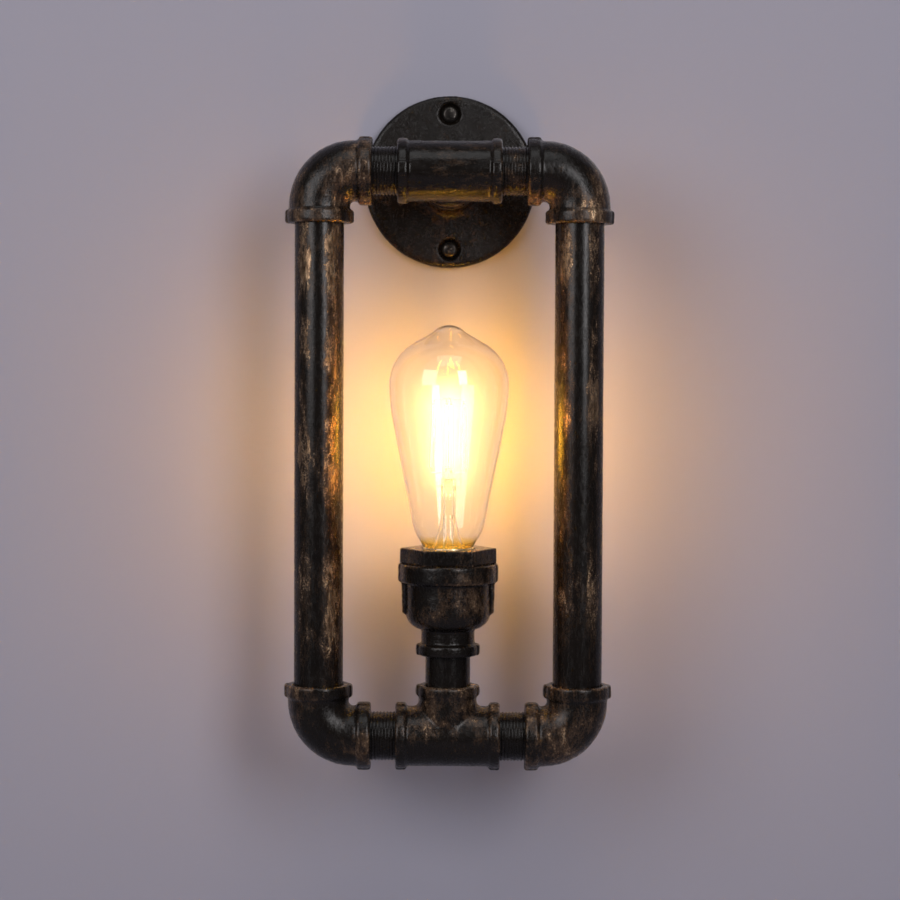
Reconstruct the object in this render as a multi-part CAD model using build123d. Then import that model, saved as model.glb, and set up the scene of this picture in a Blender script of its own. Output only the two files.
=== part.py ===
from build123d import *
import math
import os

# Industrial pipe wall light. A wall flange and arm carry an upright loop of iron pipe and cast
# fittings, and a screw-base filament bulb stands in a cup on the loop's lower rail. The leads run
# inside the pipes, from the flange round the left side of the loop to the lampholder.
# Millimetres. X is right, +Y is into the wall, +Z is up. The origin is the centre of the wall
# flange's back face. Threads are plain cylinders with a small named clearance.

# ---- the loop and the arm -----------------------------------------------------------------------
frame_width = 141.0        # between the axes of the two long pipes
frame_height = 307.0       # between the axes of the upper and lower rails
arm_reach = 72.0           # wall plane to the plane of the loop

# ---- pipe, and its threaded joints --------------------------------------------------------------
pipe_od = 26.7             # 3/4 inch pipe
pipe_bore = 22.1
riser_od = 24.4            # the short nipple under the cup
riser_bore = 19.6
thread_clearance = 0.1     # radial, between a pipe's end and its socket
socket_depth = 11.0        # how far a pipe goes into a fitting
floor_bore = 21.6          # bore past the pipe's end, smaller than the socket, so it stops the pipe
riser_floor_bore = 19.0
socket_entry = 0.8         # chamfer at a socket's mouth
pipe_end_break = 0.4       # chamfer on a pipe's outer ends

# ---- elbows -------------------------------------------------------------------------------------
elbow_face = 28.5          # centre to each face
elbow_body_od = 32.7
elbow_bend = 19.0          # centre-line radius
elbow_band_od = 35.4
elbow_band_width = 7.3
band_round = 1.3           # rounded rims of the cast bands
lug_width = 7.0            # casting lugs on the bands, in the parting plane
lug_height = 0.8

# ---- tees ---------------------------------------------------------------------------------------
tee_face = 28.3            # centre to each face
tee_run_od = 32.6
tee_branch_od = 31.2
tee_band_od = 35.2
tee_band_width = 5.8
tee_crotch = 3.0           # fillet between run and branch
riser_band_od = 33.0
riser_band_width = 6.0

# ---- wall flange --------------------------------------------------------------------------------
flange_dia = 98.0
flange_thick = 8.0
flange_rim_round = 2.6
hub_od = 35.0
hub_length = 17.0          # in front of the disc
hub_flare = 5.0            # fillet between hub and disc
hub_socket_depth = 13.0
bolt_circle = 77.0
bolt_count = 4             # the first is at 12 o'clock
bolt_hole = 5.5
seat_dia = 11.6            # counterbore for a screw's head
seat_depth = 3.0
seat_chamfer = 0.9
pocket_dia = 44.0          # recess in the back, round the bore
pocket_depth = 4.5

# ---- wall screws, in the holes at 12 and 6 o'clock ----------------------------------------------
wall_head_dia = 8.6
wall_head_height = 2.9
wall_shank_dia = 4.8       # plain part, inside the flange
wall_thread_dia = 4.2      # threaded part, in the wall
wall_thread_length = 30.0
wall_point_length = 5.0
wall_point_dia = 0.6

# ---- reducer cup --------------------------------------------------------------------------------
cup_height = 50.0
riser_gap = 16.2           # of the riser that shows, between the bottom tee and the cup
cup_band_od = 52.7
cup_band_width = 10.2
cup_body_od = 45.6
cup_body_height = 35.7     # rim to the underside of the shoulder
cup_shoulder = 9.0         # outer rounding of the body's lower edge
cup_neck_od = 28.6
cup_foot_od = 33.0
cup_foot_width = 6.2
cup_mouth = 40.0           # bore for the bush's thread
cup_bore = 38.6
cup_floor_depth = 31.5     # rim to the flat floor under the lampholder
cup_floor_round = 5.0
cup_throat = 19.0          # hole in the floor, for the leads
riser_socket = 10.0        # depth of the riser's socket in the foot
rib_od = 49.6              # over the two side ribs, at their lower ends
rib_thick = 5.0
rib_length = 27.0          # rim to the ribs' lower ends
rib_taper = 0.6

# ---- hex bush -----------------------------------------------------------------------------------
bush_flats = 45.7
bush_head = 8.4
hex_corner = 0.8
bush_thread_length = 9.0
bush_lip = 2.6             # thickness of the lip round the bulb
bush_lip_bore = 29.2
bush_bore = 33.0

# ---- lampholder ---------------------------------------------------------------------------------
holder_od = 36.4
holder_collar_od = 32.2
holder_gap = 0.4           # between the collar and the bush's lip
shell_od = 27.6
shell_wall = 0.4
shell_clearance = 0.3      # radial, between the shell and the ceramic
shell_floor_hole = 18.0
ceramic_floor = 4.4        # between the shell and the recess for the terminals
recess_length = 21.0
recess_width = 11.0
recess_depth = 7.0
terminal_length = 6.4
terminal_width = 8.0
terminal_height = 4.4
terminal_offset = 6.0      # holder's axis to a terminal's middle
terminal_break = 0.5
leg_thick = 0.8            # of the contacts' legs and of the centre tongue
leg_width = 4.0
leg_clearance = 0.4
tongue_width = 5.0
tongue_reach = 3.0         # past the axis
tongue_gap = 0.3           # under the bulb's contact
clamp_screw_dia = 3.0
clamp_head_dia = 4.2
clamp_head_height = 1.2

# ---- bulb's glass -------------------------------------------------------------------------------
glass_dia = 65.0
glass_wall = 0.9
glass_widest = 88.8        # cap rim to the widest ring
shoulder_radius = 25.0
shoulder_slope = 30.0      # degrees from level, of the cone over the shoulder
tip_radius = 12.0
tip_ring = 8.9             # radius of the ring where the tip's ball meets the cone
tip_blend = 3.0
side_radius = 110.0
side_slope = 11.2          # degrees from upright, of the long taper
chin_slope = 33.0          # degrees from upright, of the turn-in over the cap
chin_blend = 8.0
chin_foot_dia = 26.6       # of the turn-in where it passes the cap's rim
neck_dia = 24.8
neck_in_cap = 4.0
glass_lap = 0.2            # gap between the glass parts that are sealed together

# ---- bulb's stem, wires and filaments -----------------------------------------------------------
stem_dia = 8.2
stem_wall = 0.9
stem_top = 33.0            # cap rim to the top of the tube
stem_flare_top = 22.0      # cap rim to where the flare starts
stem_waist = 6.4           # radius of the flare at its middle
stem_waist_height = 8.0
press_height = 4.5
press_thick = 3.2
wire_dia = 0.7
wire_hole = 0.8
lead_spread = 2.4          # of the two lead wires in the press, from the axis
filament_length = 38.0
filament_width = 1.8
filament_thick = 1.0
filament_foot = 41.5       # cap rim to the filaments' lower ends
filament_ring = 9.6        # radius of the ring of lower ends
filament_top_ring = 8.2
filament_count = 4
filament_turn = 8.0        # degrees, of the first filament
filament_gap = 0.05
hub_rise = 1.6             # of the support wire's hub over the filaments
driver_length = 13.0
driver_thick = 1.2
driver_height = 12.0
driver_top = 5.5           # below the cap's rim

# ---- bulb's cap ---------------------------------------------------------------------------------
cap_dia = 26.0
cap_wall = 0.4
cap_lip_dia = 27.4         # of the lip that flares round the glass
cap_lip_height = 0.8
cap_flare = 1.8            # rim to where the flare meets the straight skirt
cap_skirt = 17.0           # rim to the end of the straight part
cap_cone = 5.0
cap_cone_dia = 17.0
cap_floor_hole = 8.0
insulator_height = 2.8
insulator_foot = 10.4
insulator_hole = 1.0
contact_dia = 9.6
contact_height = 1.5
contact_round = 0.9
cap_rim_over_bush = 0.3

# ---- leads and the earth terminal ---------------------------------------------------------------
lead_dia = 2.4
lead_offset = 1.7          # of each lead from the pipes' centre line, along all three axes
lead_tee_bend = 12.0
lead_elbow_bend = 18.0
lead_fan_bend = 8.0        # where the leads part towards the terminals
lead_fan_low = 4.0         # below the cup's floor
lead_fan_start = 12.0
lead_inset = 2.0           # of the leads' ends from the wall plane
lead_in_terminal = 3.0
lead_hole = 2.7
ferrule_dia = 3.2
ferrule_bore = 2.5
ferrule_length = 8.0
ferrule_lap = 0.5
earth_radius = 15.5        # of the earth screw, from the flange's axis
earth_screw_dia = 4.0
earth_screw_length = 5.0
screw_clearance = 0.05     # radial, between a machine screw and its tapped hole
earth_head_dia = 7.0
earth_head_height = 2.2
eyelet_dia = 8.4
eyelet_hole = 4.3
eyelet_thick = 0.8
barrel_length = 4.5
barrel_dia = 3.4
barrel_lift = 0.3          # over the recess's floor
earth_lead_bend = 4.5
earth_lead_sweep = 50.0    # degrees, of the arc that follows the recess's wall

# ---- places that follow from the sizes ----------------------------------------------------------
frame_y = -arm_reach
rail_z = -frame_height
pipe_x = frame_width / 2
hub_face = flange_thick + hub_length
cup_foot_z = rail_z + tee_face + riser_gap
cup_rim_z = cup_foot_z + cup_height
cup_floor_z = cup_rim_z - cup_floor_depth
bush_top_z = cup_rim_z + bush_head
ceramic_shoulder_z = cup_rim_z - bush_thread_length
ceramic_top_z = bush_top_z - bush_lip - holder_gap
terminal_top_z = cup_floor_z + recess_depth
shell_floor_z = terminal_top_z + ceramic_floor
cap_rim_z = bush_top_z + cap_rim_over_bush
cap_cone_z = cap_rim_z - cap_skirt
cap_floor_z = cap_cone_z - cap_cone
contact_top_z = cap_floor_z - insulator_height
contact_low_z = contact_top_z - contact_height
filament_top = filament_foot + filament_length
bulb_axis = Pos(0, frame_y, 0)
to_front = Rot(90, 0, 0)   # turns what is built along +Z away from the wall
to_right = Rot(0, 90, 0)
to_left = Rot(0, -90, 0)


# ---- small helpers ------------------------------------------------------------------------------
def rod(diameter, low, high):
    """An upright cylinder on the Z axis from one height to another."""
    return Pos(0, 0, (low + high) / 2) * Cylinder(diameter / 2, high - low)


def hollow(diameter, depth):
    """A cutter that goes down from the origin."""
    return rod(diameter, -depth, 0)


def rims(shape):
    return shape.edges().filter_by(GeomType.CIRCLE)


def pipe(outer, inner, start, end):
    """A pipe from one point to another, its outer ends chamfered."""
    run = Vector(*end) - Vector(*start)
    body = rod(outer, 0, run.length)
    body = chamfer(rims(body), pipe_end_break) - rod(inner, 0, run.length)
    return Plane(origin=start, z_dir=run).location * body


def wire(points, diameter=wire_dia):
    """Straight wire from point to point, round at its corners."""
    path = [Vector(*p) for p in points]
    parts = []
    for a, b in zip(path, path[1:]):
        run = b - a
        parts.append(Plane(origin=a, z_dir=run).location * rod(diameter, 0, run.length))
    balls = [Pos(*p) * Sphere(diameter / 2) for p in path[1:-1]]
    return fuse(parts + balls)


def fuse(shapes):
    whole = shapes[0]
    for shape in shapes[1:]:
        whole = whole + shape
    return whole


def turned(outline):
    """A solid turned about Z from a closed outline of (radius, z) points."""
    return revolve(make_face(Polyline(*[(r, 0, z) for r, z in outline], close=True)), Axis.Z)


def tube_along(path, diameter):
    """A round lead along a path of lines and arcs."""
    section = Plane(origin=path @ 0, z_dir=path % 0) * Circle(diameter / 2)
    return sweep(section, path)


# ---- fittings -----------------------------------------------------------------------------------
def band(diameter, width):
    """A cast band from the origin up, with rounded rims and a lug on each side."""
    ring = rod(diameter, 0, width)
    ring = fillet(rims(ring), band_round)
    pad = Pos(0, 0, width / 2) * Box(diameter + 2 * lug_height, lug_width, width)
    pad = fillet(pad.edges().filter_by(Axis.Y), band_round)
    return ring + (pad & rod(diameter + 2 * lug_height, 0, width))


def mouth(face, outer, width):
    """The band at the end of a leg along +Z, its face that far from the centre."""
    return Pos(0, 0, face - width) * band(outer, width)


def socket(face, inserted, bore, low):
    """The hollow of a leg along +Z: the pipe's socket with its entry, and the bore below it."""
    seat = inserted + 2 * thread_clearance
    entry = Pos(0, 0, face - socket_entry / 2) * Cone(
        seat / 2, seat / 2 + socket_entry, socket_entry
    )
    return rod(seat, face - socket_depth, face) + entry + rod(bore, low, face)


def quarter_bend(diameter):
    """A quarter bend from the +X leg to the +Z leg."""
    section = Plane(origin=(elbow_bend, 0, 0), z_dir=(1, 0, 0)) * Circle(diameter / 2)
    return revolve(section, Axis((elbow_bend, 0, elbow_bend), (0, 1, 0)), 90)


def elbow():
    """An elbow with its centre at the origin and its legs along +X and +Z."""
    leg = rod(elbow_body_od, elbow_bend, elbow_face)
    leg += mouth(elbow_face, elbow_band_od, elbow_band_width)
    inside = socket(elbow_face, pipe_od, floor_bore, elbow_bend)
    body = quarter_bend(elbow_body_od) + leg + to_right * leg
    return body - quarter_bend(floor_bore) - inside - to_right * inside


def tee(branch_pipe, branch_bore, branch_band_od, branch_band_width):
    """A tee with its run along X and its branch along +Z."""
    body = to_right * rod(tee_run_od, -tee_face + band_round, tee_face - band_round)
    body += rod(tee_branch_od, 0, tee_face - band_round)
    crotch = [e for e in body.edges() if e.geom_type not in (GeomType.CIRCLE, GeomType.LINE)]
    body = fillet(crotch, tee_crotch)
    end = mouth(tee_face, tee_band_od, tee_band_width)
    body += to_right * end + to_left * end
    body += mouth(tee_face, branch_band_od, branch_band_width)
    run = socket(tee_face, pipe_od, floor_bore, 0)
    return body - to_right * run - to_left * run - socket(tee_face, branch_pipe, branch_bore, 0)


def elbow_at(side, z, turns):
    """An elbow of the loop, turned clockwise by quarter turns as the viewer sees it."""
    return Pos(side * pipe_x, frame_y, z) * Rot(0, 90 * turns, 0) * elbow()


def top_tee():
    """The tee on the arm, its branch towards the wall."""
    equal_tee = tee(pipe_od, floor_bore, tee_band_od, tee_band_width)
    return Pos(0, frame_y, 0) * Rot(-90, 0, 0) * equal_tee


def bottom_tee():
    reducing_tee = tee(riser_od, riser_floor_bore, riser_band_od, riser_band_width)
    return Pos(0, frame_y, rail_z) * reducing_tee


# ---- pipes between the fittings -----------------------------------------------------------------
def arm_nipple():
    start = (0, hub_socket_depth - hub_face, 0)
    end = (0, frame_y + tee_face - socket_depth, 0)
    return pipe(pipe_od, pipe_bore, start, end)


def rail_nipple(side, z):
    start = (side * (tee_face - socket_depth), frame_y, z)
    end = (side * (pipe_x - elbow_face + socket_depth), frame_y, z)
    return pipe(pipe_od, pipe_bore, start, end)


def long_pipe(side):
    reach = elbow_face - socket_depth
    start = (side * pipe_x, frame_y, rail_z + reach)
    return pipe(pipe_od, pipe_bore, start, (side * pipe_x, frame_y, -reach))


def riser_nipple():
    start = (0, frame_y, rail_z + tee_face - socket_depth)
    return pipe(riser_od, riser_bore, start, (0, frame_y, cup_foot_z + riser_socket))


# ---- wall flange and its screws -----------------------------------------------------------------
def round_the_flange(angle, radius, y):
    """A place on the flange, by its clock angle in degrees anticlockwise from the right."""
    turn = math.radians(angle)
    return Pos(radius * math.cos(turn), y, radius * math.sin(turn))


def bolt_angles():
    return [90 + n * 360 / bolt_count for n in range(bolt_count)]


def screw_seat():
    """A screw hole with its counterbore, from the disc's back up through its front."""
    widest = seat_dia / 2 + seat_chamfer
    rim = Pos(0, 0, flange_thick - seat_chamfer / 2) * Cone(seat_dia / 2, widest, seat_chamfer)
    seat = rod(seat_dia, flange_thick - seat_depth, flange_thick)
    return rod(bolt_hole, 0, flange_thick) + seat + rim


def wall_flange():
    disc = rod(flange_dia, 0, flange_thick)
    disc = fillet(rims(disc).sort_by(Axis.Z)[-1], flange_rim_round)
    hub = rod(hub_od, 0, hub_face)
    hub = fillet(rims(hub).sort_by(Axis.Z)[-1], band_round)
    body = disc + hub
    root = [e for e in rims(body).filter_by_position(Axis.Z, flange_thick, flange_thick)]
    body = fillet(min(root, key=lambda e: e.radius), hub_flare)
    body -= rod(pipe_od + 2 * thread_clearance, hub_face - hub_socket_depth, hub_face)
    body -= rod(floor_bore, 0, hub_face) + rod(pocket_dia, 0, pocket_depth)
    body = to_front * body
    for angle in bolt_angles():
        body -= round_the_flange(angle, bolt_circle / 2, 0) * to_front * screw_seat()
    tapped = rod(earth_screw_dia + 2 * screw_clearance, -earth_screw_length, 0)
    return body - recess_floor() * tapped


def wall_screw():
    """A dome-headed wood screw, pointing down, the underside of its head at the origin."""
    in_flange = flange_thick - seat_depth
    straight = in_flange + wall_thread_length - wall_point_length
    head = rod(wall_head_dia, 0, wall_head_height)
    head = fillet(rims(head).sort_by(Axis.Z)[-1], 0.8 * wall_head_height)
    point = Pos(0, 0, -straight - wall_point_length / 2) * Cone(
        wall_point_dia / 2, wall_thread_dia / 2, wall_point_length
    )
    return head + hollow(wall_shank_dia, in_flange) + hollow(wall_thread_dia, straight) + point


def wall_screws():
    seat_y = seat_depth - flange_thick
    up_and_down = bolt_angles()[0::2]
    places = [round_the_flange(a, bolt_circle / 2, seat_y) for a in up_and_down]
    return [place * to_front * wall_screw() for place in places]


# ---- cup and bush -------------------------------------------------------------------------------
def cup_rib():
    """A side rib that tapers down from the band and ends in a slant."""
    root, face = cup_body_od / 2 - cup_body_od / 20, rib_od / 2
    top, low = cup_rim_z - cup_band_width / 2, cup_rim_z - rib_length
    slant = face - root
    outline = Polyline(
        (root, 0, top), (face + rib_taper, 0, top), (face, 0, low), (root, 0, low - slant / 2),
        close=True,
    )
    return extrude(make_face(outline), rib_thick / 2, both=True)


def reducer_cup():
    underside = cup_rim_z - cup_body_height
    body = rod(cup_body_od, underside, cup_rim_z)
    body = fillet(rims(body).sort_by(Axis.Z)[0], cup_shoulder)
    body += rod(cup_neck_od, cup_foot_z, underside + cup_shoulder / 2)
    body += Pos(0, 0, cup_foot_z) * band(cup_foot_od, cup_foot_width)
    body += Pos(0, 0, cup_rim_z - cup_band_width) * band(cup_band_od, cup_band_width)
    body += cup_rib() + Rot(0, 0, 180) * cup_rib()
    cavity = rod(cup_bore, cup_floor_z, cup_rim_z)
    inside = fillet(rims(cavity).sort_by(Axis.Z)[0], cup_floor_round)
    inside += rod(cup_mouth, ceramic_shoulder_z, cup_rim_z)
    inside += rod(cup_throat, cup_foot_z, cup_rim_z)
    inside += rod(riser_od + 2 * thread_clearance, cup_foot_z, cup_foot_z + riser_socket)
    return bulb_axis * (body - inside)


def hex_bush():
    head = extrude(RegularPolygon(bush_flats / 2, 6, major_radius=False), bush_head)
    head = fillet(head.edges().filter_by(Axis.Z), hex_corner)
    bush = head + hollow(cup_mouth - 2 * thread_clearance, bush_thread_length)
    bush -= rod(bush_bore, -bush_thread_length, bush_head - bush_lip)
    bush -= rod(bush_lip_bore, 0, bush_head)
    return Pos(0, frame_y, cup_rim_z) * bush


# ---- lampholder ---------------------------------------------------------------------------------
def holder_ceramic():
    """The porcelain body: it stands on the cup's floor and the bush holds it by its shoulder."""
    foot = cup_bore / 2 - cup_floor_round
    bore = shell_od / 2 + shell_clearance
    body = turned([
        (0, cup_floor_z), (foot, cup_floor_z), (holder_od / 2, cup_floor_z + cup_floor_round),
        (holder_od / 2, ceramic_shoulder_z), (holder_collar_od / 2, ceramic_shoulder_z),
        (holder_collar_od / 2, ceramic_top_z), (bore, ceramic_top_z), (bore, shell_floor_z),
        (0, shell_floor_z),
    ])
    recess = Box(recess_length, recess_width, recess_depth)
    body -= Pos(0, 0, cup_floor_z + recess_depth / 2) * recess
    for side in (-1, 1):
        slot = Box(leg_thick + leg_clearance, leg_width + leg_clearance, ceramic_floor)
        body -= Pos(side * terminal_offset, 0, terminal_top_z + ceramic_floor / 2) * slot
    return bulb_axis * body


def contact_leg(side):
    """A contact's leg, from the ceramic's floor down to the top of its terminal."""
    leg = Box(leg_thick, leg_width, ceramic_floor)
    return Pos(side * terminal_offset, 0, terminal_top_z + ceramic_floor / 2) * leg


def holder_shell():
    """The screw shell, a can with a ring for its floor, and its leg to the neutral terminal."""
    outer, hole = shell_od / 2, shell_floor_hole / 2
    rim_z = ceramic_top_z - holder_gap
    can = turned([
        (hole, shell_floor_z), (outer, shell_floor_z), (outer, rim_z), (outer - shell_wall, rim_z),
        (outer - shell_wall, shell_floor_z + shell_wall), (hole, shell_floor_z + shell_wall),
    ])
    inner_end = terminal_offset - leg_thick / 2
    tab = Box(hole + 1 - inner_end, leg_width, shell_wall)
    tab = Pos((hole + 1 + inner_end) / 2, 0, shell_floor_z + shell_wall / 2) * tab
    return bulb_axis * (can + tab + contact_leg(1))


def centre_contact():
    """The springy tongue under the bulb's tip, and its leg to the live terminal."""
    root = -terminal_offset - leg_thick / 2
    knee = -terminal_offset / 2
    heel = -tongue_reach / 2
    low, high = shell_floor_z, contact_low_z - tongue_gap
    outline = Polyline(
        (root, 0, low), (root, 0, low + leg_thick), (knee, 0, low + leg_thick), (heel, 0, high),
        (tongue_reach, 0, high), (tongue_reach, 0, high - leg_thick),
        (heel, 0, high - leg_thick), (knee, 0, low), close=True,
    )
    tongue = extrude(make_face(outline), tongue_width / 2, both=True)
    return bulb_axis * (tongue + contact_leg(-1))


def terminal(side):
    """A brass block with a hole for the lead from below and one for the clamp screw in front."""
    low = terminal_top_z - terminal_height
    block = Box(terminal_length, terminal_width, terminal_height)
    block = chamfer(block.edges().filter_by(Axis.Z), terminal_break)
    block = Pos(0, 0, low + terminal_height / 2) * block - rod(lead_hole, low, low + lead_in_terminal)
    tapped = to_front * rod(clamp_screw_dia, 0, terminal_width / 2)
    block -= Pos(0, 0, low + terminal_height / 2) * tapped
    return bulb_axis * Pos(side * terminal_offset, 0, 0) * block


def clamp_screws():
    """The two screws that press the leads in their terminals."""
    shank = rod(clamp_screw_dia, lead_hole / 2, terminal_width / 2)
    head = rod(clamp_head_dia, terminal_width / 2, terminal_width / 2 + clamp_head_height)
    screw = to_front * (shank + head)
    z = terminal_top_z - terminal_height / 2
    return [Pos(side * terminal_offset, frame_y, z) * screw for side in (-1, 1)]


# ---- leads and the earth terminal ---------------------------------------------------------------
def lead_path(side):
    """From the wall through the arm, down the left pipe and up the riser to a terminal."""
    o = side * lead_offset
    end_z = terminal_top_z - terminal_height + lead_in_terminal
    terminal_x = side * terminal_offset
    corners = [
        (o, -lead_inset, o), (o, frame_y + o, o), (o - pipe_x, frame_y + o, o),
        (o - pipe_x, frame_y + o, rail_z + o), (o, frame_y + o, rail_z + o),
        (o, frame_y + o, cup_floor_z - lead_fan_start),
        (terminal_x, frame_y, cup_floor_z - lead_fan_low), (terminal_x, frame_y, end_z),
    ]
    radii = [lead_tee_bend, lead_elbow_bend, lead_elbow_bend, lead_tee_bend] + 2 * [lead_fan_bend]
    return FilletPolyline(*corners, radius=radii)


def lead(side):
    return tube_along(lead_path(side), lead_dia)


def recess_floor():
    """The earth screw's place on the floor of the recess, facing the wall."""
    return round_the_flange(-90, earth_radius, -pocket_depth) * Rot(-90, 0, 0)


def barrel_start():
    return Vector(eyelet_dia / 2, barrel_lift + barrel_dia / 2 - pocket_depth, -earth_radius)


def earth_path():
    """From the eyelet's barrel round the wall of the recess, ending straight for the ferrule."""
    start = barrel_start()
    inside, mouth_x = start.X + barrel_length / 2, start.X + barrel_length
    centre = Vector(mouth_x, earth_lead_bend - earth_radius)
    turn = 90 - math.degrees(math.atan2(-centre.Y, centre.X))
    run_in = Line((inside, -earth_radius), (mouth_x, -earth_radius))
    rise = JernArc(run_in @ 1, run_in % 1, earth_lead_bend, turn)
    follow = JernArc(rise @ 1, rise % 1, centre.length + earth_lead_bend, earth_lead_sweep)
    end = Line(follow @ 1, follow @ 1 + follow % 1 * ferrule_length)
    flat = Wire([run_in.edge(), rise.edge(), follow.edge(), end.edge()])
    return Plane(origin=(0, start.Y, 0), x_dir=(1, 0, 0), z_dir=(0, -1, 0)).location * flat


def earth_lead():
    return tube_along(earth_path(), lead_dia)


def ferrule(path, at_end):
    """The crimped sleeve on the end of a lead."""
    end, away = (path @ 1, -(path % 1)) if at_end else (path @ 0, path % 0)
    sleeve = rod(ferrule_dia, -ferrule_lap, ferrule_length) - rod(ferrule_bore, 0, ferrule_length)
    return Plane(origin=end, z_dir=away).location * sleeve


def lead_ferrules():
    ends = [ferrule(lead_path(side), False) for side in (-1, 1)]
    return ends + [ferrule(earth_path(), True)]


def earth_eyelet():
    """A crimp eyelet on the floor of the recess, its barrel to the right."""
    ring = rod(eyelet_dia, 0, eyelet_thick)
    neck = Box(eyelet_dia / 2, barrel_dia, eyelet_thick)
    ring += Pos(eyelet_dia / 2, 0, eyelet_thick / 2) * neck
    barrel = rod(barrel_dia, 0, barrel_length) - rod(ferrule_bore, barrel_length / 2, barrel_length)
    barrel = Plane(origin=barrel_start(), z_dir=(1, 0, 0)).location * barrel
    ring = recess_floor() * (ring - rod(eyelet_hole, 0, eyelet_thick))
    return ring + barrel


def earth_screw():
    head = rod(earth_head_dia, eyelet_thick, eyelet_thick + earth_head_height)
    return recess_floor() * (head + rod(earth_screw_dia, -earth_screw_length, eyelet_thick))


# ---- bulb ---------------------------------------------------------------------------------------
def glass_outline(inset):
    """Half of the bulb's outline as a face, moved inwards by a wall's thickness."""
    widest = glass_dia / 2
    slope, side, chin = (math.radians(a) for a in (shoulder_slope, side_slope, chin_slope))
    tip_r, shoulder_r = tip_radius - inset, shoulder_radius - inset
    shoulder_centre = Vector(widest - shoulder_radius, glass_widest)
    uphill = Vector(math.sin(slope), math.cos(slope))
    shoulder_top = shoulder_centre + uphill * shoulder_r
    outer_top = shoulder_centre + uphill * shoulder_radius
    ring_h = outer_top.Y + (outer_top.X - tip_ring) * math.tan(slope)
    tip_centre_h = ring_h - math.sqrt(tip_radius**2 - tip_ring**2)
    tip = Vector(0, tip_centre_h + tip_r)
    # where the cone over the shoulder meets the tip's ball
    up = Vector(-math.cos(slope), math.sin(slope))
    from_centre = shoulder_top - Vector(0, tip_centre_h)
    half_b = from_centre.dot(up)
    to_ball = -half_b - math.sqrt(half_b**2 - from_centre.dot(from_centre) + tip_r**2)
    ball_foot = shoulder_top + up * to_ball
    ball_middle = Vector(0, tip_centre_h) + (
        (tip + ball_foot) * 0.5 - Vector(0, tip_centre_h)
    ).normalized() * tip_r
    shoulder_half = math.radians(45 - shoulder_slope / 2)
    shoulder_middle = shoulder_centre + Vector(
        math.cos(shoulder_half), math.sin(shoulder_half)
    ) * shoulder_r
    side_centre = Vector(widest - side_radius, glass_widest)
    side_middle = side_centre + Vector(math.cos(side / 2), -math.sin(side / 2)) * (
        side_radius - inset
    )
    side_end = side_centre + Vector(math.cos(side), -math.sin(side)) * (side_radius - inset)
    belt = Vector(widest - inset, glass_widest)
    # where the turn-in meets the neck below it and the long taper above it
    foot = Vector(chin_foot_dia / 2, glass_lap) + Vector(-math.cos(chin), math.sin(chin)) * inset
    neck_r = neck_dia / 2 - inset
    neck_h = foot.Y - (foot.X - neck_r) / math.tan(chin)
    gap = side_end.X - side_end.Y * math.tan(side) - foot.X + foot.Y * math.tan(chin)
    chin_h = gap / (math.tan(chin) - math.tan(side))
    chin_corner = Vector(foot.X + (chin_h - foot.Y) * math.tan(chin), chin_h)
    low = -neck_in_cap - inset
    lines = [
        ThreePointArc(tip, ball_middle, ball_foot), Line(ball_foot, shoulder_top),
        ThreePointArc(shoulder_top, shoulder_middle, belt),
        ThreePointArc(belt, side_middle, side_end), Line(side_end, chin_corner),
        Line(chin_corner, (neck_r, neck_h)), Line((neck_r, neck_h), (neck_r, low)),
        Line((neck_r, low), (0, low)), Line((0, low), tip),
    ]
    face = make_face(Curve() + lines)
    near = [(ball_foot, tip_blend + inset), (chin_corner, chin_blend - inset)]
    for corner, radius in near:
        vertex = min(face.vertices(), key=lambda v: (Vector(v) - corner).length)
        face = fillet(vertex, radius)
    return face


def upright(face):
    """A face drawn as (radius, height over the cap's rim), stood up and turned about the axis."""
    standing = Plane(origin=(0, frame_y, cap_rim_z), x_dir=(1, 0, 0), z_dir=(0, -1, 0)) * face
    return revolve(standing, Axis((0, frame_y, 0), (0, 0, 1)))


def bulb_glass():
    return upright(glass_outline(0)) - upright(glass_outline(glass_wall))


def bulb_stem():
    """The inner glass: a flare sealed to the neck, a tube, and the flat press that grips the wires."""
    outer, inner = stem_dia / 2, stem_dia / 2 - stem_wall
    skirt = neck_dia / 2 - glass_wall - glass_lap
    low = -neck_in_cap
    flare = ThreePointArc((outer, stem_flare_top), (stem_waist, stem_waist_height), (skirt, low))
    inside = ThreePointArc(
        (inner, stem_flare_top), (stem_waist - stem_wall, stem_waist_height),
        (skirt - stem_wall, low),
    )
    outline = [
        Line((inner, stem_top), (outer, stem_top)), Line((outer, stem_top), flare @ 0), flare,
        Line(flare @ 1, inside @ 1), inside, Line(inside @ 0, (inner, stem_top)),
    ]
    tube = upright(make_face(Curve() + outline))
    press = Pos(0, 0, press_height / 2) * Box(stem_dia, press_thick, press_height)
    press = fillet(press.edges().filter_by(Axis.Z), press_thick / 3)
    press += Pos(0, 0, -stem_wall) * rod(stem_dia - stem_wall, 0, 2 * stem_wall)
    for side in (-1, 1):
        press -= Pos(side * lead_spread, 0, 0) * rod(wire_hole, -2 * stem_wall, 2 * press_height)
    return tube + Pos(0, frame_y, cap_rim_z + stem_top) * press


def on_ring(index, radius, height):
    angle = math.radians(filament_turn + index * 360 / filament_count)
    return (radius * math.cos(angle), radius * math.sin(angle), height)


def in_bulb(shape):
    return Pos(0, frame_y, cap_rim_z) * shape


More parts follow.
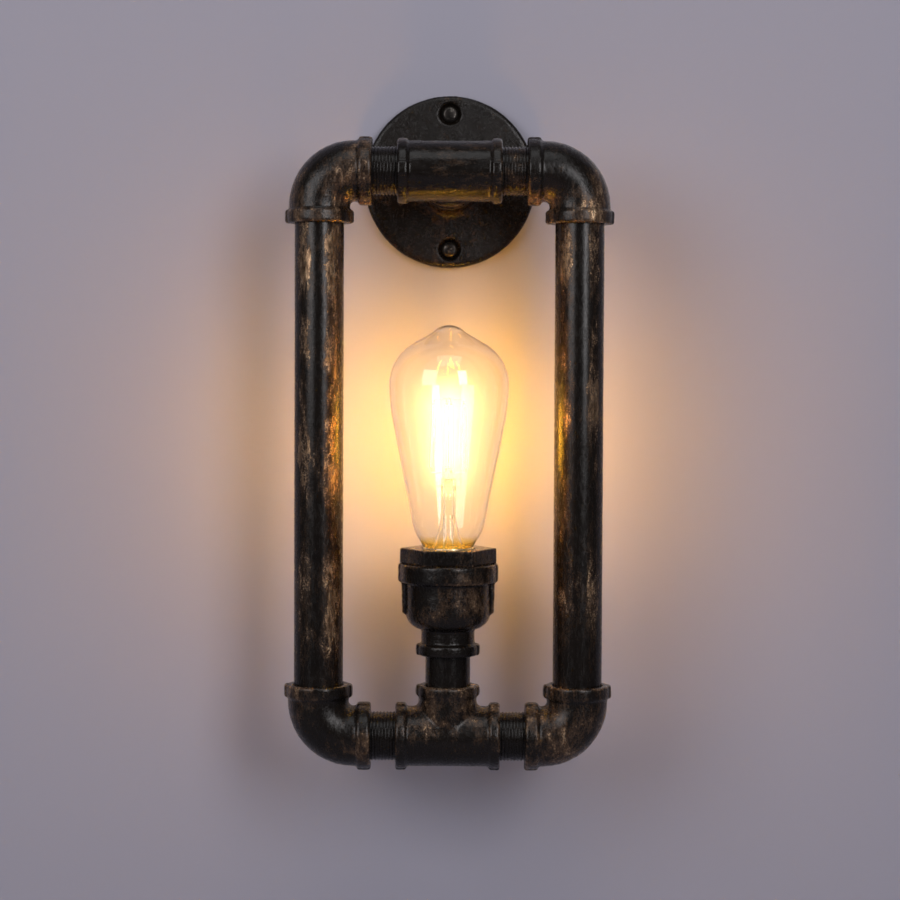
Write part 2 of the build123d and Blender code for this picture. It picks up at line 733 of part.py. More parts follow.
def filament_wires():
    """Two wires up from the driver through the press, each to half of the filaments' feet."""
    foot = filament_foot - filament_gap
    arm = foot - wire_dia
    wires = []
    for side in (-1, 1):
        root = (side * lead_spread, 0, arm)
        stalk = wire([(side * lead_spread, 0, -driver_top + filament_gap), root])
        arms = [stalk, Pos(*root) * Sphere(wire_dia / 2)]
        for n in range(filament_count):
            x, y, _ = on_ring(n, filament_ring, arm)
            across = x if filament_count < 4 else x - y
            if across * side > 0:
                arms.append(wire([root, (x, y, arm), (x, y, foot)]))
        wires.append(in_bulb(fuse(arms)))
    return wires


def support_wires():
    """The centre wire from the press to a hub over the filaments, with an arm to each."""
    hub = (0, 0, filament_top + hub_rise)
    top = filament_top + filament_gap
    parts = [wire([(0, 0, stem_top + press_height), hub]), Pos(*hub) * Sphere(wire_dia / 2)]
    for n in range(filament_count):
        x, y, _ = on_ring(n, filament_top_ring, 0)
        parts.append(wire([hub, (x, y, top + wire_dia), (x, y, top)]))
    return in_bulb(fuse(parts))


def led_filaments():
    strips = []
    for n in range(filament_count):
        foot = Vector(*on_ring(n, filament_ring, filament_foot))
        head = Vector(*on_ring(n, filament_top_ring, filament_top))
        outwards = Vector(foot.X, foot.Y, 0)
        strip = Pos(0, 0, filament_length / 2) * Box(
            filament_thick, filament_width, filament_length
        )
        place = Plane(origin=foot, x_dir=outwards, z_dir=head - foot)
        strips.append(in_bulb(place.location * strip))
    return strips


def driver_board():
    board = Box(driver_length, driver_thick, driver_height)
    return in_bulb(Pos(0, 0, -driver_top - driver_height / 2) * board)


def driver_tails():
    """One tail from the driver to the contact and one to the cap's wall."""
    low = -driver_top - driver_height
    contact = contact_top_z - cap_rim_z + filament_gap
    wall = cap_dia / 2 - cap_wall - filament_gap
    down = wire([(0, 0, low), (0, 0, contact)])
    edge = driver_length / 2
    middle = -driver_top - driver_height / 2
    out = wire([(edge, 0, middle), (wall, 0, middle)])
    return [in_bulb(down), in_bulb(out)]


def bulb_cap():
    """The screw cap: a lip round the glass, a straight skirt, and a cone to a floor with a hole."""
    lip, skirt, cone = cap_lip_dia / 2, cap_dia / 2, cap_cone_dia / 2
    hole = cap_floor_hole / 2
    flare_z = cap_rim_z - cap_flare
    return bulb_axis * turned([
        (lip - cap_wall, cap_rim_z), (lip, cap_rim_z), (lip, cap_rim_z - cap_lip_height),
        (skirt, flare_z), (skirt, cap_cone_z), (cone, cap_floor_z), (hole, cap_floor_z),
        (hole, cap_floor_z + cap_wall), (cone - cap_wall / 2, cap_floor_z + cap_wall),
        (skirt - cap_wall, cap_cone_z + cap_wall / 2), (skirt - cap_wall, flare_z),
    ])


def cap_insulator():
    top, foot, hole = cap_cone_dia / 2, insulator_foot / 2, insulator_hole / 2
    return bulb_axis * turned([
        (hole, cap_floor_z), (top, cap_floor_z), (foot, contact_top_z), (hole, contact_top_z),
    ])


def contact_tip():
    tip = rod(contact_dia, contact_low_z, contact_top_z)
    return bulb_axis * fillet(rims(tip).sort_by(Axis.Z)[0], contact_round)


# ---- every piece, by name -----------------------------------------------------------------------
pieces = {
    "wall_flange": wall_flange(),
    "wall_screws": wall_screws(),
    "earth_screw": earth_screw(),
    "earth_eyelet": earth_eyelet(),
    "earth_lead": earth_lead(),
    "arm_nipple": arm_nipple(),
    "top_tee": top_tee(),
    "top_left_nipple": rail_nipple(-1, 0),
    "top_right_nipple": rail_nipple(1, 0),
    "top_left_elbow": elbow_at(-1, 0, 1),
    "top_right_elbow": elbow_at(1, 0, 2),
    "left_pipe": long_pipe(-1),
    "right_pipe": long_pipe(1),
    "bottom_left_elbow": elbow_at(-1, rail_z, 0),
    "bottom_right_elbow": elbow_at(1, rail_z, 3),
    "bottom_left_nipple": rail_nipple(-1, rail_z),
    "bottom_right_nipple": rail_nipple(1, rail_z),
    "bottom_tee": bottom_tee(),
    "riser_nipple": riser_nipple(),
    "reducer_cup": reducer_cup(),
    "hex_bush": hex_bush(),
    "holder_ceramic": holder_ceramic(),
    "holder_shell": holder_shell(),
    "centre_contact": centre_contact(),
    "live_terminal": terminal(-1),
    "neutral_terminal": terminal(1),
    "clamp_screws": clamp_screws(),
    "live_lead": lead(-1),
    "neutral_lead": lead(1),
    "lead_ferrules": lead_ferrules(),
    "bulb_glass": bulb_glass(),
    "bulb_stem": bulb_stem(),
    "filament_wires": filament_wires(),
    "support_wires": support_wires(),
    "led_filaments": led_filaments(),
    "driver_board": driver_board(),
    "driver_tails": driver_tails(),
    "bulb_cap": bulb_cap(),
    "cap_insulator": cap_insulator(),
    "contact_tip": contact_tip(),
}

os.makedirs("parts", exist_ok=True)
for name, piece in pieces.items():
    solids = [s for p in (piece if isinstance(piece, list) else [piece]) for s in p.solids()]
    export_step(Compound(children=solids), f"parts/{name}.step")

for side, name in ((-1, "live lead"), (1, "neutral lead")):
    path = lead_path(side)
    section = math.pi * lead_dia**2 / 4
    print(name, "length", round(path.length, 1), "volume over section x length",
          round(lead(side).volume / (section * path.length), 4))
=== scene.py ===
# %% [markdown]
# # An industrial pipe wall light
# The CAD model gives every piece its true size and place. This lesson dresses it: iron castings
# with worn bronze paint, cut threads, a blown-glass bulb with lit filaments, and the small parts
# inside the lampholder. Everything is in metres. X is right, +Y is into the wall, Z is up.

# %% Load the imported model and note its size
import math

import bmesh
import bpy
from mathutils import Matrix, Vector


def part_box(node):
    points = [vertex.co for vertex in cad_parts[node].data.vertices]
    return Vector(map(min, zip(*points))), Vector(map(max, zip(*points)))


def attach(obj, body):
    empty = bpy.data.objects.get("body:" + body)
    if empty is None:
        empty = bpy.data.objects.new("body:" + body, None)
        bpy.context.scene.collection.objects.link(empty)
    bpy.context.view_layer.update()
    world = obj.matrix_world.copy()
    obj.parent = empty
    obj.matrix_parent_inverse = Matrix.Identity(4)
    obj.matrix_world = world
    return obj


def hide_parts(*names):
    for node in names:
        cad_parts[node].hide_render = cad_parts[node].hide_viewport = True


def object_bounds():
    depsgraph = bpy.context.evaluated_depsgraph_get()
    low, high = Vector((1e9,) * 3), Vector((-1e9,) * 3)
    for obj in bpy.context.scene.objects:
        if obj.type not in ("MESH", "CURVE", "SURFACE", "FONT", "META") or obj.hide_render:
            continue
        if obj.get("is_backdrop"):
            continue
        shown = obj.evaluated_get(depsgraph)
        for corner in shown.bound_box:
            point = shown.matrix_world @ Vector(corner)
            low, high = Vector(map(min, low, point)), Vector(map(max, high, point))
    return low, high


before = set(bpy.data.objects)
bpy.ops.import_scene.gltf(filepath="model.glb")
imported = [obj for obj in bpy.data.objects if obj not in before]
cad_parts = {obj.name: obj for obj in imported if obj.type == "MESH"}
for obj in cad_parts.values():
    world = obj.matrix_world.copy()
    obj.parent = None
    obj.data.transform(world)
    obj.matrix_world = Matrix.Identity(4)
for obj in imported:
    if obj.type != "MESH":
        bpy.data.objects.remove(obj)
cad_box = [list(corner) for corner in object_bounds()]
print("CAD box", cad_box)

MM = 0.001
LOOP_Y = -72 * MM                  # the plane of the pipe loop
LOWER_RAIL_Z = -307 * MM
CUP_RIM_Z = -212.5 * MM
CAP_RIM_Z = -203.8 * MM            # where the bulb's glass meets its metal cap

# %% [markdown]
# ## Stage, light and camera
# The light hangs on a wall, so the stage is a pale wall that curves into a pale floor well below
# it. A real wall would hide the back of the flange in the views from behind. Its material is
# therefore one-sided: a ray that meets it from behind, or that only asks for shadow, goes through.

# %% The wall and the floor are one bent sheet
WALL_Y, WALL_TOP, HALF_WIDTH, FLOOR_FRONT = 0.6 * MM, 1.6, 2.6, -3.2
FLOOR_DROP, CORNER_RADIUS, CORNER_STEPS = 0.62, 0.18, 16


def stage_sheet():
    """A wall that curves into a floor, as one strip of quads extruded along X."""
    corner_z = CORNER_RADIUS - FLOOR_DROP
    profile = [(WALL_Y, WALL_TOP), (WALL_Y, corner_z)]
    for step in range(1, CORNER_STEPS + 1):
        turn = math.radians(90 * step / CORNER_STEPS)
        profile.append((WALL_Y - CORNER_RADIUS * (1 - math.cos(turn)),
                        corner_z - CORNER_RADIUS * math.sin(turn)))
    profile.append((FLOOR_FRONT, -FLOOR_DROP))
    points = [(x, y, z) for y, z in profile for x in (-HALF_WIDTH, HALF_WIDTH)]
    faces = [(2 * i, 2 * i + 2, 2 * i + 3, 2 * i + 1) for i in range(len(profile) - 1)]
    sheet = bpy.data.meshes.new("wall_and_floor")
    sheet.from_pydata(points, [], faces)
    sheet.polygons.foreach_set("use_smooth", [True] * len(faces))
    return bpy.data.objects.new("wall_and_floor", sheet)


wall = stage_sheet()
bpy.context.scene.collection.objects.link(wall)
wall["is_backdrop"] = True
print("stage: wall at y =", WALL_Y, "and floor at z =", -FLOOR_DROP)

# %% [markdown]
# The wall is matt, so one even colour and hardly any gloss are enough. Two questions to the ray
# decide whether it is there at all: does it come from behind, and does it only ask for shadow?

# %% Matt wall paint that shows from the room only
WALL_COLOUR = (0.27, 0.262, 0.31, 1)


def one_sided(colour):
    """Matt paint that is only there for rays that come from the room."""
    paint = bpy.data.materials.new("wall_paint")
    paint.use_nodes = True
    nodes, links = paint.node_tree.nodes, paint.node_tree.links
    surface = nodes["Principled BSDF"]
    surface.inputs["Base Color"].default_value = colour
    surface.inputs["Roughness"].default_value = 0.9
    surface.inputs["Specular IOR Level"].default_value = 0.1
    clear, mix = nodes.new("ShaderNodeBsdfTransparent"), nodes.new("ShaderNodeMixShader")
    side, ray = nodes.new("ShaderNodeNewGeometry"), nodes.new("ShaderNodeLightPath")
    either = nodes.new("ShaderNodeMath")
    either.operation = "MAXIMUM"
    links.new(side.outputs["Backfacing"], either.inputs[0])
    links.new(ray.outputs["Is Shadow Ray"], either.inputs[1])
    links.new(either.outputs[0], mix.inputs["Fac"])
    links.new(surface.outputs[0], mix.inputs[1])
    links.new(clear.outputs[0], mix.inputs[2])
    links.new(mix.outputs[0], nodes["Material Output"].inputs["Surface"])
    return paint


wall.data.materials.append(one_sided(WALL_COLOUR))
print("wall colour", WALL_COLOUR[:3])

# %% [markdown]
# A round dark pipe shows its shape only through what it mirrors. Two tall soft lamps, left and
# right of the camera and a little above it, draw a pair of long streaks on each pipe. They also
# throw the loop's two soft shadows on the wall, whose places in the photograph tell the lamps'
# directions. A weak lamp from above and the world's faint even grey fill the rest.

# %% Soft lamps and an even grey world
def soft_lamp(name, place, target, width, height, watts, colour=(1, 1, 1)):
    """An area lamp that looks at a point."""
    light = bpy.data.lights.new(name, "AREA")
    light.shape = "RECTANGLE"
    light.size, light.size_y = width, height
    light.energy, light.color = watts, colour
    lamp = bpy.data.objects.new(name, light)
    aim = Vector(target) - Vector(place)
    turn = aim.to_track_quat("-Z", "Y").to_matrix().to_4x4()
    lamp.matrix_world = Matrix.Translation(place) @ turn
    bpy.context.scene.collection.objects.link(lamp)
    return lamp


MIDDLE = (0, LOOP_Y, -0.15)         # about the middle of the light
soft_lamp("left_window", (-0.90, -1.18, 0.31), MIDDLE, 0.75, 0.9, 10.5, (1.0, 0.98, 1.0))
soft_lamp("right_window", (0.65, -1.34, 0.31), MIDDLE, 0.42, 0.9, 11.5, (1.0, 0.98, 1.0))
soft_lamp("ceiling_bounce", (0, -0.8, 1.2), MIDDLE, 1.0, 0.8, 5, (0.97, 0.98, 1.0))
soft_lamp("room_behind", (0.5, 1.4, 0.5), MIDDLE, 1.2, 1.2, 20)

world = bpy.data.worlds.new("grey_room")
bpy.context.scene.world = world
world.use_nodes = True
sky = world.node_tree.nodes["Background"]
sky.inputs["Color"].default_value = (0.80, 0.79, 0.83, 1)
sky.inputs["Strength"].default_value = 0.14
bpy.context.scene.view_settings.view_transform = "Standard"

# %% [markdown]
# The photograph was taken from a little over a metre away, with the lens about level with the
# middle of the loop. The long pipes close in by half a percent towards the bottom, which gives
# the small downward tilt. A lens shift then brings the upper rail to its row of pixels, as a
# photographer's shift lens would, because more tilt would make the pipes close in further.

# %% The camera
CAMERA_AWAY = 1.15                 # from the plane of the loop
CAMERA_Z = -0.108
PIXELS_PER_METRE_AWAY = 2119.0     # focal length in pixels of the 900-pixel frame
TILT_DOWN = math.radians(1.9)
ROLL = math.radians(0.25)
UPPER_RAIL_ROW = 172.0             # pixel row of the upper rail's axis
FRAME = 900                        # pixels, both ways
SHIFT_X = 0.0014

camera = bpy.data.objects.new("camera", bpy.data.cameras.new("camera"))
bpy.context.scene.collection.objects.link(camera)
camera.location = (0.0, LOOP_Y - CAMERA_AWAY, CAMERA_Z)
camera.rotation_euler = (Matrix.Rotation(math.radians(90) - TILT_DOWN, 3, "X")
                         @ Matrix.Rotation(ROLL, 3, "Z")).to_euler()
camera.data.sensor_fit = "HORIZONTAL"
camera.data.angle = 2 * math.atan(FRAME / 2 / PIXELS_PER_METRE_AWAY)
horizon_row = UPPER_RAIL_ROW - PIXELS_PER_METRE_AWAY * CAMERA_Z / CAMERA_AWAY
tilt_pixels = PIXELS_PER_METRE_AWAY * math.tan(TILT_DOWN)
camera.data.shift_y = (horizon_row - FRAME / 2 + tilt_pixels) / FRAME
camera.data.shift_x = SHIFT_X
bpy.context.scene.camera = camera
print("camera shift", SHIFT_X, round(camera.data.shift_y, 4))

# %% [markdown]
# ## Tools for making pieces
# Every piece ends as a plain mesh that sits at the origin, because its place is in its points.
# These few helpers do what comes back all the time: make a mesh from points and faces, turn a
# profile into a round piece, sweep a wire, and bake what modifiers do into the mesh.

# %% A mesh from points, and what modifiers make of it
def as_piece(name, points, faces, smooth=True):
    """An object at the origin, made from points in metres and faces that point outwards."""
    mesh = bpy.data.meshes.new(name)
    mesh.from_pydata([tuple(p) for p in points], [], faces)
    mesh.polygons.foreach_set("use_smooth", [smooth] * len(mesh.polygons))
    piece = bpy.data.objects.new(name, mesh)
    bpy.context.scene.collection.objects.link(piece)
    return piece


def baked(piece):
    """Turns what the modifiers show into the piece's own mesh, and removes them."""
    bpy.context.view_layer.update()
    seen = piece.evaluated_get(bpy.context.evaluated_depsgraph_get())
    mesh = bpy.data.meshes.new_from_object(seen)
    mesh.name = piece.name
    if piece.type == "MESH":
        piece.modifiers.clear()
        piece.data = mesh
        return piece
    name, place = piece.name, piece.matrix_world.copy()
    bpy.data.objects.remove(piece)
    mesh.transform(place)
    made = bpy.data.objects.new(name, mesh)
    bpy.context.scene.collection.objects.link(made)
    return made


def outward(piece):
    """Recalculates the faces' sides, after any doubled points are merged."""
    shape = bmesh.new()
    shape.from_mesh(piece.data)
    bmesh.ops.remove_doubles(shape, verts=shape.verts, dist=1e-7)
    bmesh.ops.recalc_face_normals(shape, faces=shape.faces)
    shape.to_mesh(piece.data)
    shape.free()
    return piece


print("tools for plain meshes are ready")

# %% [markdown]
# Much of a pipe light is round. A lathe turns an outline about an upright axis, and arcs give the
# outline its curves. Blender's Screw modifier does the same, but this way the rows stay known.

# %% Turned pieces
def lathe(name, profile, middle, segments=96, closed=False):
    """Turns (radius, height) points about an upright axis. A closed profile makes a ring or tube;
    an open one runs from pole to pole."""
    points, rings, faces = [], [], []
    for radius, height in profile:
        if radius < 1e-7:
            rings.append([len(points)] * segments)
            points.append((middle[0], middle[1], middle[2] + height))
            continue
        rings.append(list(range(len(points), len(points) + segments)))
        for s in range(segments):
            turn = 2 * math.pi * s / segments
            points.append((middle[0] + radius * math.cos(turn),
                           middle[1] + radius * math.sin(turn), middle[2] + height))
    pairs = list(zip(rings, rings[1:])) + ([(rings[-1], rings[0])] if closed else [])
    for low, high in pairs:
        for s in range(segments):
            n = (s + 1) % segments
            corners = [low[s], low[n], high[n], high[s]]
            corners = [c for i, c in enumerate(corners) if c not in corners[:i]]
            if len(corners) > 2:
                faces.append(corners)
    return outward(as_piece(name, points, faces))


def arc(centre, radius, start, end, steps):
    """Points on an arc in a profile, by angles in degrees anticlockwise from the right."""
    turns = [math.radians(start + (end - start) * i / steps) for i in range(steps + 1)]
    return [(centre[0] + radius * math.cos(t), centre[1] + radius * math.sin(t)) for t in turns]


quarter = [(round(x, 2), round(y, 2)) for x, y in arc((0, 0), 1, 0, 90, 2)]
print("a quarter arc of radius 1:", quarter)

# %% [markdown]
# Wires are curves with a round bevel. Bent wire has small even curves at its corners, so each
# corner of a route is replaced by a short curve first.

# %% Wires
def wire(name, routes, thickness, bend=0):
    """Round wires along routes of points; corners can be softened by a bend."""
    curve = bpy.data.curves.new(name, "CURVE")
    curve.dimensions = "3D"
    curve.bevel_depth = thickness / 2
    curve.bevel_resolution = 3
    curve.use_fill_caps = True
    for route in routes:
        soft = softened([Vector(p) for p in route], bend)
        line = curve.splines.new("POLY")
        line.points.add(len(soft) - 1)
        for point, place in zip(line.points, soft):
            point.co = (*place, 1)
    piece = bpy.data.objects.new(name, curve)
    bpy.context.scene.collection.objects.link(piece)
    return baked(piece)


def softened(route, bend, steps=6):
    """The route with each inner corner replaced by a small curve."""
    if not bend or len(route) < 3:
        return route
    soft = [route[0]]
    for before, corner, after in zip(route, route[1:], route[2:]):
        reach_in = min(bend, (corner - before).length * 0.48)
        reach_out = min(bend, (after - corner).length * 0.48)
        a = corner + (before - corner).normalized() * reach_in
        b = corner + (after - corner).normalized() * reach_out
        for i in range(steps + 1):
            t = i / steps
            soft.append(a * (1 - t) ** 2 + corner * 2 * t * (1 - t) + b * t * t)
    return soft + [route[-1]]


print("points of a softened corner:", len(softened([Vector((0, 0, 0)), Vector((1, 0, 0)),
                                                    Vector((1, 1, 0))], 0.2)))

# %% [markdown]
# What is one piece on the real light is one mesh here, so parts are joined before they are handed
# over. Handing over says which body a piece moves with and which CAD nodes it stands for, and
# hides those nodes.

# %% Joining pieces and handing them over
def joined(name, pieces):
    """Several pieces as one mesh, with their materials."""
    whole = bmesh.new()
    materials = []
    for piece in pieces:
        before = len(whole.faces)
        whole.from_mesh(piece.data)
        whole.faces.ensure_lookup_table()
        own = [slot.material for slot in piece.material_slots]
        for material in own:
            if material not in materials:
                materials.append(material)
        for face in whole.faces[before:]:
            if own:
                face.material_index = materials.index(own[face.material_index])
    mesh = bpy.data.meshes.new(name)
    whole.to_mesh(mesh)
    whole.free()
    for material in materials:
        mesh.materials.append(material)
    for piece in pieces:
        bpy.data.objects.remove(piece)
    made = bpy.data.objects.new(name, mesh)
    bpy.context.scene.collection.objects.link(made)
    return made


def dress(piece, body, slot, *nodes):
    """The piece moves with a body and stands for CAD nodes, which it hides. slot is not used."""
    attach(piece, body)
    if nodes:
        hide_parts(*nodes)
    print(piece.name, "faces", len(piece.data.polygons), "for", ", ".join(nodes))
    return piece


# %% [markdown]
# ## Worn bronze paint
# The iron is painted near-black, and bronze and gold have been rubbed over it with a nearly dry
# brush. The rub catches on raised rims first, then in streaks along each piece, skips the
# hollows, and breaks up into specks. One function makes every variant. It adds three noises of
# falling size and the sharpness of the edge, and cuts the sum off at a height: what lies above is
# rubbed metal, and what lies below is paint.

# %% A small language for shader nodes
def new_material(name):
    """A material, its tree and its surface node."""
    material = bpy.data.materials.new(name)
    material.use_nodes = True
    return material, material.node_tree, material.node_tree.nodes["Principled BSDF"]


def add(tree, kind, settings=None, **inputs):
    """Adds a shader node. An input is a number, a colour or the output that feeds it."""
    made = tree.nodes.new("ShaderNode" + kind)
    for key, value in (settings or {}).items():
        setattr(made, key, value)
    for key, value in inputs.items():
        join(tree, value, made.inputs[key.replace("_", " ")])
    return made


def join(tree, value, socket):
    """Links an output to a socket, or writes a plain value on it."""
    if isinstance(value, bpy.types.NodeSocket):
        tree.links.new(value, socket)
    else:
        socket.default_value = value


def maths(tree, operation, *values):
    """The result of one operation on numbers or outputs."""
    made = tree.nodes.new("ShaderNodeMath")
    made.operation = operation
    for value, socket in zip(values, made.inputs):
        join(tree, value, socket)
    return made.outputs[0]


def blend(tree, share, a, b):
    """A colour between two colours."""
    made = tree.nodes.new("ShaderNodeMix")
    made.data_type = "RGBA"
    for value, index in ((share, 0), (a, 6), (b, 7)):
        join(tree, value, made.inputs[index])
    return made.outputs[2]


def fade(tree, value, low, high, to_low=0.0, to_high=1.0):
    """Maps a range of a value smoothly onto another range, and holds it there."""
    made = add(tree, "MapRange", {"interpolation_type": "SMOOTHSTEP"})
    for key, item in (("Value", value), ("From Min", low), ("From Max", high),
                      ("To Min", to_low), ("To Max", to_high)):
        join(tree, item, made.inputs[key])
    return made.outputs["Result"]


def cloud(tree, where, scale, detail=4.0, roughness=0.55, twist=0.0):
    """Noise with features of about one over the scale, in metres."""
    made = add(tree, "TexNoise", Vector=where, Scale=scale, Detail=detail, Roughness=roughness,
               Distortion=twist)
    return made.outputs["Fac"]


def place_on(tree, stretch=(1, 1, 1), offset=(0, 0, 0)):
    """Object coordinates, stretched where the scale is under 1 and moved to another patch."""
    here = add(tree, "TexCoord").outputs["Object"]
    return add(tree, "Mapping", Vector=here, Scale=stretch, Location=offset).outputs["Vector"]


def ramp(tree, value, *stops):
    """A colour ramp from (place, colour) stops."""
    made = add(tree, "ValToRGB", Fac=value)
    row = made.color_ramp.elements
    while len(row) < len(stops):
        row.new(0.5)
    for element, (place, colour) in zip(row, stops):
        element.position, element.color = place, (*colour, 1)
    return made.outputs["Color"]


print("a small language for shader nodes is ready")

# %% [markdown]
# The colours go from the paint's near-black to the pale gold of the thickest rub. On the long
# pipes the rub is raised left and right of the middle, where the lamps draw their streaks, so the
# bright metal there is partly wear and partly a painted highlight. A helper gives its height
# across a pipe from the pipe's axis and radius.

# %% The colours, and the painted highlight bands on a pipe
INK = (0.0026, 0.0023, 0.0022)
DARK_BROWN = (0.0085, 0.0056, 0.0038)
BROWN_BRONZE = (0.058, 0.034, 0.020)
BRONZE = (0.22, 0.140, 0.082)
PALE_GOLD = (0.46, 0.34, 0.21)


def rub_and_highlight_bands(tree, middle, radius):
    """1 along the two front and two back quarters of an upright pipe, where the lamps' streaks fall
    as a painted highlight, 0 at its front middle, and less towards the foot."""
    here = add(tree, "TexCoord").outputs["Object"]
    across = add(tree, "Mapping", Vector=here, Scale=(1 / radius,) * 3,
                 Location=(-middle / radius, 0, 0)).outputs["Vector"]
    sideways = maths(tree, "ABSOLUTE", add(tree, "SeparateXYZ", Vector=across).outputs["X"])
    band = maths(tree, "MULTIPLY", fade(tree, sideways, 0.12, 0.42),
                 fade(tree, sideways, 0.96, 0.66))
    height = add(tree, "SeparateXYZ", Vector=here).outputs["Z"]
    return maths(tree, "MULTIPLY", band, fade(tree, height, LOWER_RAIL_Z, -60 * MM, 0.55, 1.0))


print("colours from ink to pale gold:", INK, PALE_GOLD)

# %% [markdown]
# The paint is glossy where it is smooth and near-black, and the lamps and the bulb draw lines of
# light on it. The rub is metal, and a little rougher. The sand of the casting is a bump, because
# it is finer than the mesh.

# %% The bronze paint itself
def worn_bronze(name, rub, streak, seed, edge=1.0, brown=0.45, grain=1.0, patchy=0.95, bands=None):
    """Near-black paint under rubbed bronze. rub is the share of metal that shows, streak the
    stretch of the brush marks along X, Y and Z, edge how hard the rims are rubbed, brown how
    much brown haze lies round the rub, grain how sandy the skin is, patchy how much the rub
    comes and goes, and bands the axis and radius of a pipe whose rub is raised where the lamps'
    streaks fall, as a painted highlight."""
    material, tree, surface = new_material(name)
    offset = (seed * 0.37, seed * 0.73, seed * 0.19)
    even = place_on(tree, offset=offset)
    brushed = place_on(tree, stretch=streak, offset=offset)
    patch = cloud(tree, even, 30, 3, 0.5)
    stroke = cloud(tree, brushed, 260, 6, 0.70, 0.15)
    speck = cloud(tree, place_on(tree, offset=offset), 1100, 3, 0.7)
    form = add(tree, "NewGeometry").outputs["Pointiness"]
    corner, hollow = fade(tree, form, 0.505, 0.585), fade(tree, form, 0.497, 0.455)
    height = maths(tree, "MULTIPLY_ADD", stroke, 0.75,
                   maths(tree, "MULTIPLY_ADD", patch, patchy, 0.5 * (0.95 - patchy)))
    height = maths(tree, "MULTIPLY_ADD", speck, 0.42, height)
    height = maths(tree, "MULTIPLY_ADD", corner, 0.26 * edge, height)
    height = maths(tree, "MULTIPLY_ADD", hollow, -0.22, height)
    # Painted highlight: on a pipe the rub is raised where the lamps' streaks fall.
    if bands:
        height = maths(tree, "MULTIPLY_ADD", rub_and_highlight_bands(tree, *bands), 0.22, height)
    cut = 1.30 - 0.50 * rub
    metal = fade(tree, height, cut, cut + 0.075)
    haze = fade(tree, height, cut - 0.17, cut + 0.06)

    paint = blend(tree, cloud(tree, even, 75, 4, 0.6), (*INK, 1), (*DARK_BROWN, 1))
    dusty = blend(tree, maths(tree, "MULTIPLY", haze, brown), paint, (*BROWN_BRONZE, 1))
    rubbed = ramp(tree, cloud(tree, brushed, 420, 4, 0.6),
                  (0.32, BROWN_BRONZE), (0.55, BRONZE), (0.76, PALE_GOLD))
    join(tree, blend(tree, metal, dusty, rubbed), surface.inputs["Base Color"])
    join(tree, fade(tree, metal, 0, 1, 0.12, 0.86), surface.inputs["Metallic"])
    gloss = fade(tree, cloud(tree, brushed, 620, 5, 0.7), 0.3, 0.7, 0.13, 0.33)
    join(tree, maths(tree, "MULTIPLY_ADD", metal, 0.06, gloss), surface.inputs["Roughness"])
    surface.inputs["Specular IOR Level"].default_value = 0.24

    sand = cloud(tree, even, 900, 5, 0.65)
    relief = maths(tree, "MULTIPLY_ADD", metal, -0.35, maths(tree, "MULTIPLY", sand, grain))
    relief = maths(tree, "MULTIPLY_ADD", stroke, 0.22, relief)
    bump = add(tree, "Bump", Strength=0.5, Distance=0.00040, Height=relief)
    join(tree, bump.outputs["Normal"], surface.inputs["Normal"])
    return material


print("one recipe for all iron pieces")

# %% [markdown]
# Each kind of piece was rubbed a little differently. The elbows and the cup were easy to reach,
# and so took more bronze. The flange and the threads took hardly any. A seed for each gives the
# marks another place.

# %% One paint for each kind of piece
PIPE_X, PIPE_R = 70.5 * MM, 13.35 * MM
elbow_paint = worn_bronze("elbow_paint", 0.21, (1, 1, 0.40), 1, edge=1.25, brown=0.9, grain=0.7)
tee_paint = worn_bronze("tee_paint", 0.13, (1, 1, 0.6), 12, edge=1.3, brown=0.9, grain=0.7)
rail_paint = worn_bronze("rail_paint", 0.08, (0.35, 1, 1), 2, brown=0.7, grain=0.4)
thread_paint = worn_bronze("thread_paint", 0.03, (0.8, 1, 1), 6, edge=0.1, brown=0.5, grain=0.6)
left_paint = worn_bronze("left_pipe_paint", 0.02, (1.2, 1.2, 0.36), 3, brown=0.4, grain=0.3,
                         patchy=0.75, bands=(-PIPE_X, PIPE_R))
right_paint = worn_bronze("right_pipe_paint", 0.02, (1.2, 1.2, 0.36), 8, brown=0.4, grain=0.3,
                          patchy=0.75, bands=(PIPE_X, PIPE_R))
riser_paint = worn_bronze("riser_paint", 0.05, (1, 1, 0.4), 9, brown=0.7, grain=0.4)
flange_paint = worn_bronze("flange_paint", 0.02, (1, 1, 1), 4, edge=0.5, brown=0.7)
cup_paint = worn_bronze("cup_paint", 0.12, (1, 1, 0.6), 5, edge=1.3, brown=0.9, grain=0.6)
print("bronze paints made")

# %% [markdown]
# ## Iron castings
# Elbows, tees, the cup and the wall flange are sand castings. Next to the exact CAD solids they
# have soft corners where the legs meet, a sandy skin and a faint seam where the two halves of the
# mould met. A copy of each CAD mesh is merged and rebuilt in tiny cubes by Remesh, and Smooth
# melts the corners together. The sandy skin is a Geometry Nodes tree, because it follows one rule
# on every casting: push each point out along its normal by two noises and by the height of the
# seam.

# %% Geometry Nodes: a small language for trees
def geometry_tree(name, **sizes):
    """A tree with a geometry input and named number inputs. Returns it with its two ends."""
    tree = bpy.data.node_groups.new(name, "GeometryNodeTree")
    tree.interface.new_socket("Geometry", in_out="INPUT", socket_type="NodeSocketGeometry")
    for size, value in sizes.items():
        kind = {int: "Int", float: "Float", tuple: "Vector"}.get(type(value), "Material")
        made = tree.interface.new_socket(
            size.replace("_", " "), in_out="INPUT", socket_type="NodeSocket" + kind)
        if kind != "Material":
            made.default_value = value
    tree.interface.new_socket("Geometry", in_out="OUTPUT", socket_type="NodeSocketGeometry")
    return tree, tree.nodes.new("NodeGroupInput"), tree.nodes.new("NodeGroupOutput")


def grow(tree, kind, settings=None, **inputs):
    """Adds a geometry node, or a plain maths node, and feeds its inputs."""
    made = tree.nodes.new(kind)
    for key, value in (settings or {}).items():
        setattr(made, key, value)
    for key, value in inputs.items():
        join(tree, value, made.inputs[key.replace("_", " ")])
    return made


